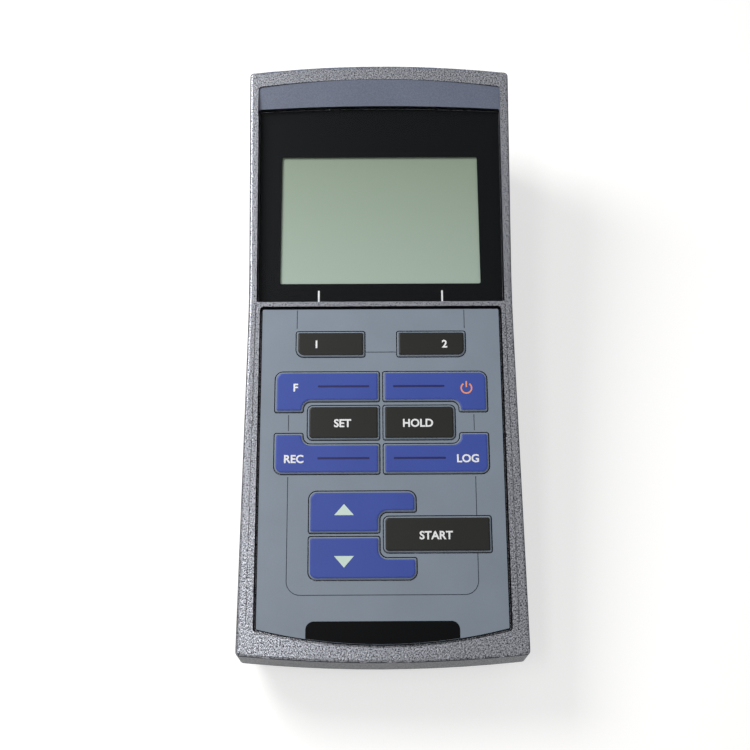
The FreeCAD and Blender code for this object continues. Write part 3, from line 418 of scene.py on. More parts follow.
class Shader:
    """Node tree of one material, with short calls to add and join its nodes."""

    def __init__(self, name: str) -> None:
        """Start a material with its standard shader.

        Args:
            name: Name of the material.
        """
        self.material = bpy.data.materials.new(name)
        self.material.use_nodes = True
        self.tree = self.material.node_tree
        self.surface = self.tree.nodes["Principled BSDF"]

    def add(self, kind: str, values: dict[str | int, object] | None = None, **settings: object) -> Node:
        """Add a node.

        Args:
            kind: Node type without its ShaderNode prefix.
            values: Constants or output sockets for its inputs.
            settings: Other properties of the node.

        Returns:
            The node.
        """
        node = self.tree.nodes.new("ShaderNode" + kind)
        for name, value in settings.items():
            setattr(node, name, value)
        for name, value in (values or {}).items():
            self.put(node.inputs[name], value)
        return node

    def put(self, socket: Socket, value: object) -> None:
        """Set a socket to a constant, or join an output socket to it."""
        if isinstance(value, Socket):
            self.tree.links.new(value, socket)
        else:
            socket.default_value = value

    def face_place(self) -> Socket:
        """Object coordinates turned into the face frame, in metres."""
        turn = FACE.to_euler()
        coordinates = self.add("TexCoord")
        mapping = self.add(
            "Mapping",
            {"Vector": coordinates.outputs["Object"], "Location": FACE.translation, "Rotation": turn},
            vector_type="TEXTURE")
        return mapping.outputs["Vector"]

    def noise(self, size: float, detail: float = 2.0, place: Socket | None = None) -> Socket:
        """Cloudy pattern from 0 to 1.

        Args:
            size: Size of its spots in millimetres.
            detail: Finer layers in it.
            place: Coordinates, or none for those of the face.

        Returns:
            The pattern.
        """
        vector = place if place is not None else self.face_place()
        node = self.add("TexNoise", {"Vector": vector, "Scale": 1 / (size * MM), "Detail": detail})
        return node.outputs["Fac"]

    def between(self, factor: Socket, stops: Sequence[tuple[float, Color]]) -> Socket:
        """Colours that a pattern runs through.

        Args:
            factor: The pattern.
            stops: Positions from 0 to 1 with their colours.

        Returns:
            The colour.
        """
        node = self.add("ValToRGB", {"Fac": factor})
        ramp = node.color_ramp
        while len(ramp.elements) < len(stops):
            ramp.elements.new(0.5)
        for element, (position, color) in zip(ramp.elements, stops):
            element.position = position
            element.color = color
        return node.outputs["Color"]

    def span(self, value: Socket, low: float, high: float, to_low: float, to_high: float) -> Socket:
        """Number moved from one range to another, and kept in it."""
        node = self.add(
            "MapRange",
            {"Value": value, "From Min": low, "From Max": high, "To Min": to_low, "To Max": to_high})
        return node.outputs["Result"]

    def math(self, operation: str, first: object, last: object) -> Socket:
        """Result of a sum on two numbers."""
        return self.add("Math", {0: first, 1: last}, operation=operation).outputs["Value"]

    def bump(self, pattern: Socket, depth: float, strength: float = 1.0) -> Socket:
        """Relief from a pattern, with its depth in millimetres."""
        node = self.add("Bump", {"Height": pattern, "Distance": depth * MM, "Strength": strength})
        return node.outputs["Normal"]


@dataclass(frozen=True)
class Moulded:
    """Moulded plastic, rubber or paint: two shades in a grain, with its relief."""

    name: str
    shade: Color
    light: Color
    grain: Grain = Grain.FINE
    grain_size: float = 0.5
    relief: float = 0.01
    roughness: float = 0.5
    roughness_swing: float = 0.08
    spread: float = 0.15
    metallic: float = 0.0
    sheen: float = 0.0
    shine: float = 0.5
    cloud_size: float = 14.0
    cloud_tint: float = 0.04
    brush_stretch: float = 0.06
    coarse_ratio: float = 1.7
    spark_middle: float = 1.0
    spark_half: float = 0.32

    def material(self) -> Material:
        """Material with its colour, roughness and relief from the same grain."""
        shader = Shader(self.name)
        pattern = self.pattern(shader)
        cloud = shader.noise(self.cloud_size, 3.0)
        low, high = 0.5 - self.spread, 0.5 + self.spread
        color = shader.between(pattern, [(low, self.shade), (high, self.light)])
        tint = shader.span(cloud, 0.3, 0.7, 1 - self.cloud_tint, 1 + self.cloud_tint)
        varied = shader.add("VectorMath", {0: color, "Scale": tint}, operation="SCALE")
        rough = shader.span(
            pattern, low, high, self.roughness + self.roughness_swing, self.roughness - self.roughness_swing)
        shader.put(shader.surface.inputs["Base Color"], varied.outputs["Vector"])
        shader.put(shader.surface.inputs["Roughness"], rough)
        shader.put(shader.surface.inputs["Normal"], shader.bump(pattern, self.relief))
        shader.put(shader.surface.inputs["Metallic"], self.metallic)
        shader.put(shader.surface.inputs["Sheen Weight"], self.sheen)
        shader.put(shader.surface.inputs["Specular IOR Level"], self.shine)
        return shader.material

    def pattern(self, shader: Shader) -> Socket:
        """The grain itself.

        Args:
            shader: Tree that it is added to.

        Returns:
            A pattern from 0 to 1.
        """
        if self.grain is Grain.BRUSHED:
            stretch = shader.add(
                "Mapping", {"Vector": shader.face_place(), "Scale": (self.brush_stretch, 1.0, 1.0)},
                vector_type="POINT")
            return shader.noise(self.grain_size, 4.0, stretch.outputs["Vector"])
        if self.grain is Grain.SPARK:
            fine = shader.noise(self.grain_size, 1.0)
            coarse = shader.noise(self.coarse_ratio * self.grain_size, 1.0)
            low, high = self.spark_middle - self.spark_half, self.spark_middle + self.spark_half
            return shader.span(shader.math("ADD", fine, coarse), low, high, 0.0, 1.0)
        return shader.noise(self.grain_size, 3.0)


@dataclass(frozen=True)
class ClearPane:
    """Polished clear plate: mostly see-through, with a faint mirror of the room."""

    name: str = "clear_pane"
    mirror_share: float = 0.01
    smear_size: float = 9.0
    polish: float = 0.03
    smeared: float = 0.07

    def material(self) -> Material:
        """Material whose faint smears vary its gloss."""
        shader = Shader(self.name)
        smear = shader.span(shader.noise(self.smear_size, 4.0), 0.35, 0.7, self.polish, self.smeared)
        shader.put(shader.surface.inputs["Base Color"], written(245, 248, 252))
        shader.put(shader.surface.inputs["Metallic"], 1.0)
        shader.put(shader.surface.inputs["Roughness"], smear)
        shader.put(shader.surface.inputs["Alpha"], self.mirror_share)
        shader.material.surface_render_method = "BLENDED"
        return shader.material


@dataclass(frozen=True)
class LiquidCrystal:
    """Blank reflective display: grey green with a faint field of dots, paler to the user by a painted
    reflection.
    """

    name: str = "blank_display_painted_reflection"
    # Painted reflection: near is paler than far, as if the room were mirrored on the near part of the
    # display.
    far: Color = written(138, 154, 134)
    near: Color = written(165, 183, 169)
    dot_pitch: float = 0.42
    dot_gap_share: float = 0.05
    dot_gap_shade: float = 0.965
    far_y: float = 60.0
    near_y: float = 19.0

    def material(self) -> Material:
        """Material with the dots and the slow change of shade, which is a painted reflection."""
        shader = Shader(self.name)
        place = shader.face_place()
        parts = shader.add("SeparateXYZ", {"Vector": place})
        # Painted reflection: the colour turns paler from the far end to the near end.
        slope = shader.span(parts.outputs["Y"], self.near_y * MM, self.far_y * MM, 0.0, 1.0)
        color = shader.between(slope, [(0.0, self.near), (1.0, self.far)])
        dots = shader.add(
            "TexBrick",
            {"Vector": place, "Scale": 1.0, "Color1": (1, 1, 1, 1), "Color2": (1, 1, 1, 1),
             "Mortar": (self.dot_gap_shade,) * 3 + (1,),
             "Mortar Size": self.dot_gap_share * self.dot_pitch * MM,
             "Brick Width": self.dot_pitch * MM, "Row Height": self.dot_pitch * MM},
            offset=0.0, squash=1.0)
        tinted = shader.add("VectorMath", {0: color, 1: dots.outputs["Color"]}, operation="MULTIPLY")
        shader.put(shader.surface.inputs["Base Color"], tinted.outputs["Vector"])
        shader.put(shader.surface.inputs["Roughness"], shader.span(shader.noise(0.2), 0.3, 0.7, 0.42, 0.5))
        return shader.material


@dataclass(frozen=True)
class CircuitBoard:
    """Green board with pale traces under its lacquer."""

    name: str = "circuit_board"
    lacquer: Color = written(24, 84, 52)
    trace: Color = written(58, 122, 78)
    pitch: float = 1.9
    trace_relief: float = 0.03

    def material(self) -> Material:
        """Material with rows of traces and a glossy lacquer."""
        shader = Shader(self.name)
        place = shader.face_place()
        cells = shader.add(
            "TexVoronoi", {"Vector": place, "Scale": 1 / (self.pitch * MM)}, distance="MANHATTAN")
        pattern = shader.span(cells.outputs["Distance"], 0.36, 0.44, 0.0, 1.0)
        color = shader.between(pattern, [(0.0, self.trace), (1.0, self.lacquer)])
        shader.put(shader.surface.inputs["Base Color"], color)
        shader.put(shader.surface.inputs["Roughness"], shader.span(pattern, 0.0, 1.0, 0.3, 0.36))
        shader.put(shader.surface.inputs["Normal"], shader.bump(pattern, self.trace_relief))
        return shader.material


@dataclass(frozen=True)
class Finishes:
    """Every finish on the meter."""

    shell: Moulded = Moulded(
        "grained_shell", written(50, 52, 60), written(204, 206, 215), Grain.SPARK, 0.27, 0.03, 0.3, 0.06,
        0.36, metallic=0.5)
    # Painted shade: the rim's rounded outer edge is painted darker than both the rim and the wall.
    edge: Moulded = Moulded(
        "shell_edge_painted_shade", written(38, 39, 44), written(58, 59, 65),
        Grain.SPARK, 0.2, 0.01, 0.5, 0.08, 0.4, shine=0.3)
    wall: Moulded = Moulded(
        "shell_wall", written(90, 92, 97), written(120, 122, 127),
        Grain.SPARK, 0.3, 0.02, 0.5, 0.08, 0.4, shine=0.3)
    # Painted shade: groove floors take a darker copy of the sheet colour.
    groove: Moulded = Moulded(
        "sheet_groove_painted_shade", written(66, 74, 84), written(74, 82, 92),
        Grain.FINE, 0.12, 0.002, 0.5, 0.04, shine=0.3)
    # Painted shade: steep walls of pockets, gaps and grooves are painted near black.
    recess: Moulded = Moulded(
        "recess_painted_shade", written(20, 21, 25), written(28, 29, 34), Grain.FINE, 0.3, 0.005, 0.6, 0.05, shine=0.2)
    # Finer grain for the ramp at the display end, with a darker bluish tone that is painted shade on the
    # rim's plastic.
    slope: Moulded = Moulded(
        "fine_grained_field_painted_shade", written(92, 99, 116), written(106, 113, 131),
        Grain.SPARK, 0.3, 0.02, 0.45, 0.05, 0.4)
    sheet: Moulded = Moulded(
        "keypad_sheet", written(129, 140, 153), written(134, 145, 158),
        Grain.FINE, 0.12, 0.002, 0.42, 0.04, shine=0.4)
    blue: Moulded = Moulded(
        "blue_key_paint", written(60, 79, 160), written(65, 85, 167),
        Grain.FINE, 0.15, 0.002, 0.42, 0.04, shine=0.3)
    black: Moulded = Moulded(
        "black_key_paint", written(33, 33, 31), written(38, 38, 36),
        Grain.FINE, 0.15, 0.002, 0.44, 0.04, shine=0.3)
    white_ink: Moulded = Moulded(
        "white_ink", written(238, 240, 240), written(246, 247, 247), Grain.FINE, 0.1, 0.001, 0.5, 0.03)
    mint_ink: Moulded = Moulded(
        "pale_green_ink", written(205, 226, 214), written(214, 233, 222), Grain.FINE, 0.1, 0.001, 0.5, 0.03)
    orange_ink: Moulded = Moulded(
        "orange_ink", written(245, 150, 106), written(249, 162, 120), Grain.FINE, 0.1, 0.001, 0.5, 0.03)
    navy_ink: Moulded = Moulded(
        "dark_blue_ink", written(12, 16, 84), written(16, 20, 92), Grain.FINE, 0.1, 0.001, 0.5, 0.03)
    window_print: Moulded = Moulded(
        "black_window_print", written(3, 6, 9), written(6, 9, 12),
        Grain.FINE, 0.3, 0.001, 0.5, 0.03, shine=0.1)
    label: Moulded = Moulded(
        "black_label", written(3, 4, 6), written(6, 7, 9), Grain.FINE, 0.12, 0.002, 0.5, 0.04, shine=0.1)
    rubber: Moulded = Moulded(
        "dark_rubber", written(34, 35, 37), written(46, 47, 50),
        Grain.FINE, 0.22, 0.02, 0.72, 0.06, sheen=0.15)
    steel: Moulded = Moulded(
        "plated_steel", written(168, 170, 172), written(196, 198, 200), Grain.BRUSHED, 0.12, 0.003, 0.3, 0.08,
        metallic=1.0)
    gold: Moulded = Moulded(
        "gold_contact", written(214, 172, 92), written(230, 190, 112), Grain.BRUSHED, 0.1, 0.002, 0.25, 0.06,
        metallic=1.0)
    insert: Moulded = Moulded(
        "black_insulator", written(28, 28, 30), written(36, 36, 38), Grain.FINE, 0.2, 0.004, 0.5, 0.05)
    chip: Moulded = Moulded(
        "moulded_chip", written(30, 31, 33), written(40, 41, 43), Grain.FINE, 0.15, 0.006, 0.6, 0.05)
    diffuser: Moulded = Moulded(
        "milky_plate", written(226, 230, 228), written(238, 241, 239), Grain.FINE, 0.4, 0.002, 0.45, 0.04)
    white_plastic: Moulded = Moulded(
        "white_frame", written(216, 217, 214), written(228, 229, 226), Grain.FINE, 0.3, 0.003, 0.5, 0.05)
    elastomer: Moulded = Moulded(
        "striped_elastomer", written(60, 60, 62), written(176, 176, 172),
        Grain.BRUSHED, 0.18, 0.002, 0.6, 0.05)
    seal: Moulded = Moulded(
        "seal_rubber", written(70, 72, 76), written(82, 84, 88), Grain.FINE, 0.25, 0.004, 0.65, 0.05)
    jacket: Moulded = Moulded(
        "cell_jacket", written(36, 58, 84), written(44, 68, 96), Grain.FINE, 0.5, 0.002, 0.28, 0.04)
    pane: ClearPane = ClearPane()
    crystal: LiquidCrystal = LiquidCrystal()
    board: CircuitBoard = CircuitBoard()


class Palette:
    """Materials of the finishes, each made once."""

    def __init__(self, finishes: Finishes) -> None:
        """Keep the finishes and make no material yet.

        Args:
            finishes: What each name looks like.
        """
        self.finishes = finishes
        self.made: dict[str, Material] = {}

    def __getitem__(self, name: str) -> Material:
        """Material of one finish, by the finish's name."""
        if name not in self.made:
            self.made[name] = getattr(self.finishes, name).material()
        return self.made[name]


def dress(palette: Palette, finish: str, *nodes: str) -> None:
    """Give CAD nodes softer shading and one finish.

    Args:
        palette: Where the material is.
        finish: Name of the finish.
        nodes: Names of the nodes.
    """
    for node in nodes:
        piece = refined(node)
        piece.data.materials.append(palette[finish])
        log.info("%s: %s", node, finish)


def attach(piece: Piece, material: Material, body: str) -> Piece:
    """Give a made piece its material and its body.

    Args:
        piece: The piece.
        material: Its material.
        body: Name of the body that it rides on.

    Returns:
        The piece.
    """
    piece.data.materials.clear()
    piece.data.materials.append(material)
    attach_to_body(piece, body)
    log.info("%s rides on %s", piece.name, body)
    return piece


# Geometry Nodes

class Pattern:
    """Geometry Nodes tree with named sizes, and the mesh that it makes."""

    crease_deg = 35.0

    def __init__(self, name: str, sizes: dict[str, float | int]) -> None:
        """Start a tree with an input for each size and one for the material.

        Args:
            name: Name of the tree.
            sizes: Names and values of its inputs. Whole numbers are counts, others metres.
        """
        self.tree = bpy.data.node_groups.new(name, "GeometryNodeTree")
        interface = self.tree.interface
        interface.new_socket("Geometry", in_out="OUTPUT", socket_type="NodeSocketGeometry")
        interface.new_socket("Geometry", in_out="INPUT", socket_type="NodeSocketGeometry")
        self.sizes = sizes
        self.sockets: dict[str, str] = {}
        for key, value in sizes.items():
            kind = "NodeSocketInt" if isinstance(value, int) else "NodeSocketFloat"
            self.sockets[key] = interface.new_socket(key, in_out="INPUT", socket_type=kind).identifier
        finish = interface.new_socket("Finish", in_out="INPUT", socket_type="NodeSocketMaterial")
        self.sockets["Finish"] = finish.identifier
        self.given = self.tree.nodes.new("NodeGroupInput").outputs
        self.end = self.tree.nodes.new("NodeGroupOutput")

    def add(self, kind: str, values: dict[str | int, object] | None = None, **settings: object) -> Node:
        """Add a node.

        Args:
            kind: Node type without its GeometryNode prefix, or the whole type.
            values: Constants or output sockets for its inputs.
            settings: Other properties of the node.

        Returns:
            The node.
        """
        full = kind if kind.startswith("ShaderNode") else "GeometryNode" + kind
        node = self.tree.nodes.new(full)
        for name, value in settings.items():
            setattr(node, name, value)
        for name, value in (values or {}).items():
            if isinstance(value, Socket):
                self.tree.links.new(value, node.inputs[name])
            else:
                node.inputs[name].default_value = value
        return node

    def math(self, operation: str, first: object, last: object) -> Socket:
        """Result of a sum on two sizes."""
        return self.add("ShaderNodeMath", {0: first, 1: last}, operation=operation).outputs["Value"]

    def vector(self, x: object = 0.0, y: object = 0.0, z: object = 0.0) -> Socket:
        """Vector from three sizes."""
        return self.add("ShaderNodeCombineXYZ", {"X": x, "Y": y, "Z": z}).outputs["Vector"]

    def moved(self, geometry: Socket, offset: Socket) -> Socket:
        """Geometry moved by a vector."""
        node = self.add("Transform", {"Geometry": geometry, "Translation": offset})
        return node.outputs["Geometry"]

    def rod(self, radius: object, low: object, high: object, sides: int = 32) -> Socket:
        """Cylinder along z.

        Args:
            radius: Its radius.
            low: Height of its lower end.
            high: Height of its upper end.
            sides: Facets round it.

        Returns:
            Its geometry.
        """
        length = self.math("SUBTRACT", high, low)
        middle = self.math("MULTIPLY", self.math("ADD", high, low), 0.5)
        node = self.add("MeshCylinder", {"Vertices": sides, "Radius": radius, "Depth": length})
        return self.moved(node.outputs["Mesh"], self.vector(z=middle))

    def joined(self, parts: Sequence[Socket]) -> Socket:
        """Several geometries as one."""
        node = self.add("JoinGeometry")
        for part in parts:
            self.tree.links.new(part, node.inputs["Geometry"])
        return node.outputs["Geometry"]

    def cut(self, body: Socket, tools: Sequence[Socket]) -> Socket:
        """Geometry with others taken out of it."""
        node = self.add("MeshBoolean", {"Mesh 1": body}, operation="DIFFERENCE", solver="EXACT")
        for tool in tools:
            self.tree.links.new(tool, node.inputs["Mesh 2"])
        return node.outputs["Mesh"]

    def finish(self, instances: Socket) -> None:
        """End the tree with realized instances and their material."""
        real = self.add("RealizeInstances", {"Geometry": instances})
        dressed = self.add(
            "SetMaterial", {"Geometry": real.outputs["Geometry"], "Material": self.given["Finish"]})
        self.tree.links.new(dressed.outputs["Geometry"], self.end.inputs["Geometry"])

    def make(self, name: str, points: Sequence[Corner], material: Material, place: Matrix) -> Piece:
        """Run the tree on points and keep its mesh.

        Args:
            name: Name of the piece.
            points: Points in millimetres that the tree starts from.
            material: Finish of the piece.
            place: Where its frame lies in the row frame.

        Returns:
            The piece, with no modifier left on it.
        """
        seeds = bpy.data.meshes.new(name + "_points")
        seeds.from_pydata([Vector(point) * MM for point in points], [], [])
        maker = shown(name + "_maker", seeds)
        modifier = maker.modifiers.new("pattern", "NODES")
        modifier.node_group = self.tree
        for key, value in self.sizes.items():
            modifier[self.sockets[key]] = value
        modifier[self.sockets["Finish"]] = material
        bpy.context.view_layer.update()
        evaluated = maker.evaluated_get(bpy.context.evaluated_depsgraph_get())
        mesh = bpy.data.meshes.new_from_object(evaluated)
        bpy.data.objects.remove(maker)
        mesh.transform(place)
        mesh.shade_smooth()
        mesh.set_sharp_from_angle(angle=math.radians(self.crease_deg))
        return shown(name, mesh)


# Sub-assemblies

class ShellSlot(IntEnum):
    """Material slots of the front shell, each named for its finish."""

    SHELL = 0
    SLOPE = 1
    EDGE = 2
    WALL = 3
    RECESS = 4


class SheetSlot(IntEnum):
    """Material slots of the keypad sheet, each named for its finish."""

    SHEET = 0
    RECESS = 1
    GROOVE = 2


def slot_materials(palette: Palette, slots: type[IntEnum]) -> list[Material]:
    """Materials of a piece's slots, in their order."""
    return [palette[slot.name.lower()] for slot in slots]


@dataclass
class Housing:
    """Two shells with their seal and screws."""

    palette: Palette
    corners: TightCorners = TightCorners()
    edge_steepness: float = 0.72
    wall_steepness: float = 0.15
    recess_half: float = 36.9
    recess_low_y: float = -86.6
    recess_high_y: float = 86.0
    slope_low_y: float = 75.0
    slope_half: float = 37.6
    slope_start: float = 0.02
    slope_depth: float = 1.4
    slope_flatness: float = 0.9
    screw_head_radius: float = 2.8
    screw_head_height: float = 2.2
    screw_radius: float = 1.5
    screw_length: float = 9.0
    screw_seat_z: float = -19.05
    recess_width: float = 0.7
    recess_reach: float = 1.7
    recess_depth: float = 1.3
    screw_places: list[Point] = field(default_factory=lambda: [
        (-31.5, 82.2), (31.5, 82.2), (-31.5, -80.5), (31.5, -80.5), (-31.6, -14.0), (31.6, -14.0)])

    def build(self) -> None:
        """Dress the shells and make the screws."""
        front = self.corners.apply(refined("front_housing"))
        paint_faces(front, slot_materials(self.palette, ShellSlot), self.front_slot)
        rear = self.corners.apply(refined("rear_housing"))
        rear.data.materials.append(self.palette["wall"])
        dress(self.palette, "seal", "housing_seal")
        dress(self.palette, "rubber", "rubber_feet")
        self.screws()

    def front_slot(self, middle: Vector, normal: Vector) -> ShellSlot:
        """Slot of a face of the front shell.

        Args:
            middle: Middle of the face.
            normal: Its normal.

        Returns:
            The slot, which is SHELL for the rim.
        """
        if normal.z < self.edge_steepness:
            # Steep faces round the window and keypad are painted near black as painted shade.
            if abs(middle.x) < self.recess_half and self.recess_low_y < middle.y < self.recess_high_y:
                return ShellSlot.RECESS
            # Other steep faces are walls, or the rim's rounded edge (EDGE), which is painted darker as
            # painted shade.
            return ShellSlot.WALL if normal.z < self.wall_steepness else ShellSlot.EDGE
        flat = normal.z > self.slope_flatness
        on_slope = flat and middle.y > self.slope_low_y and abs(middle.x) < self.slope_half
        below_rim = -self.slope_depth < middle.z < -self.slope_start
        # The ramp (SLOPE) has its own finer grain and a darker colour that is painted shade.
        return ShellSlot.SLOPE if on_slope and below_rim else ShellSlot.SHELL

    def screws(self) -> None:
        """Cross-recessed screws from the underside."""
        pattern = Pattern("recessed_screws", {
            "Head radius": self.screw_head_radius * MM, "Head height": self.screw_head_height * MM,
            "Shank radius": self.screw_radius * MM, "Shank length": self.screw_length * MM,
            "Recess width": self.recess_width * MM, "Recess reach": self.recess_reach * MM,
            "Recess depth": self.recess_depth * MM})
        given = pattern.given
        low = pattern.math("MULTIPLY", given["Head height"], -1.0)
        head = pattern.rod(given["Head radius"], low, 0.0)
        tools = []
        for turned in (False, True):
            long = pattern.math("MULTIPLY", given["Recess reach"], 2.0)
            sides = (given["Recess width"], long) if turned else (long, given["Recess width"])
            deep = pattern.math("MULTIPLY", given["Recess depth"], 2.0)
            cube = pattern.add("MeshCube", {"Size": pattern.vector(sides[0], sides[1], deep)})
            tools.append(pattern.moved(cube.outputs["Mesh"], pattern.vector(z=low)))
        shank = pattern.rod(given["Shank radius"], 0.0, given["Shank length"], 24)
        screw = pattern.joined([pattern.cut(head, tools), shank])
        placed = pattern.add("InstanceOnPoints", {"Points": given["Geometry"], "Instance": screw})
        pattern.finish(placed.outputs["Instances"])
        points = [(x, y, self.screw_seat_z) for x, y in self.screw_places]
        piece = pattern.make("recessed_screws", points, self.palette["steel"], FACE)
        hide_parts("housing_screws")
        attach(piece, self.palette["steel"], Body.HOUSING.value)


@dataclass
class Display:
    """Window, its black print and the blank display behind it."""

    palette: Palette
    view_half: float = 29.82
    view_low_y: float = 19.2
    view_high_y: float = 60.2
    view_corner: float = 0.5
    print_gap: float = 0.01
    print_thickness: float = 0.04
    plate_back: float = -3.0
    window_margin: float = 0.12
    window_corners: list[Corner] = field(default_factory=lambda: [
        (36.32, 12.7, 0.5), (37.09, 75.5, 0.5), (-37.09, 75.5, 0.5), (-36.32, 12.7, 0.5)])
    window_bow: float = 1.1
    bow_steps: int = 24
    tick_x: float = 18.3
    tick_width: float = 0.5
    tick_low_y: float = 12.95
    tick_high_y: float = 17.0
    tick_lift: float = 0.01
    tick_thickness: float = 0.02

    def build(self) -> None:
        """Make the window's layers and dress what lies behind them."""
        pane = refined("display_window")
        paint_faces(pane, [self.palette["pane"], self.palette["window_print"]], self.pane_slot)
        self.black_print()
        self.ticks()
        dress(self.palette, "crystal", "lcd_glass")
        dress(self.palette, "white_plastic", "lcd_frame")
        dress(self.palette, "diffuser", "lcd_diffuser")
        dress(self.palette, "elastomer", "lcd_contact_strips")

    def pane_slot(self, middle: Vector, normal: Vector) -> int:
        """Slot 1 for the painted edge of the plate, 0 for its clear faces."""
        return 1 if abs(normal.z) < 0.5 else 0

    def print_outline(self) -> list[Point]:
        """Outer edge of the black print, bowed at the display end like the plate."""
        inner = self.window_margin
        low, high = self.window_corners[0], self.window_corners[1]
        points: list[Point] = [(-low[0] + inner, low[1] + inner), (low[0] - inner, low[1] + inner)]
        half = high[0] - inner
        for step in range(self.bow_steps + 1):
            x = half * (1 - 2 * step / self.bow_steps)
            points.append((x, high[1] - inner + self.window_bow * (1 - (x / half) ** 2)))
        return points

    def black_print(self) -> None:
        """Print on the back of the plate, open over the display."""
        opening = rounded_outline(box_corners(
            -self.view_half, self.view_low_y, self.view_half, self.view_high_y, self.view_corner))
        low = self.plate_back + self.print_gap
        piece = flat_piece("window_print", [self.print_outline(), opening], low, low + self.print_thickness)
        attach(piece, self.palette["window_print"], Body.HOUSING.value)

    def ticks(self) -> None:
        """White ticks above the soft keys, printed on the back of the plate."""
        half = self.tick_width / 2
        for name, side in (("tick_left", -1), ("tick_right", 1)):
            middle = side * self.tick_x
            outline = rounded_outline(box_corners(
                middle - half, self.tick_low_y, middle + half, self.tick_high_y))
            low = self.plate_back + self.print_gap + self.print_thickness + self.tick_lift
            piece = flat_piece(name, [outline], low, low + self.tick_thickness)
            attach(piece, self.palette["white_ink"], Body.HOUSING.value)


@dataclass(frozen=True)
class Key:
    """One key: its node, paint and printed word."""

    node: str
    paint: str
    word: str = ""
    word_x: float = 0.0
    word_y: float = 0.0
    line_side: int = 0
    line_y: float = 0.0


KEYS = (
    Key("key_soft_left", "black", "1", -18.7, -0.35),
    Key("key_soft_right", "black", "2", 18.5, -0.35),
    Key("key_mode", "blue", "F", -24.6, -13.3, -1, -13.05),
    Key("key_power", "blue", "", 0, 0, 1, -13.05),
    Key("key_set", "black", "SET", -11.1, -23.8),
    Key("key_hold", "black", "HOLD", 10.4, -23.8),
    Key("key_store", "blue", "REC", -24.9, -34.1, -1, -34.0),
    Key("key_recall", "blue", "LOG", 24.4, -34.1, 1, -34.0),
    Key("key_up", "blue"),
    Key("key_down", "blue"),
    Key("key_confirm", "black", "START", 15.0, -55.7),
)


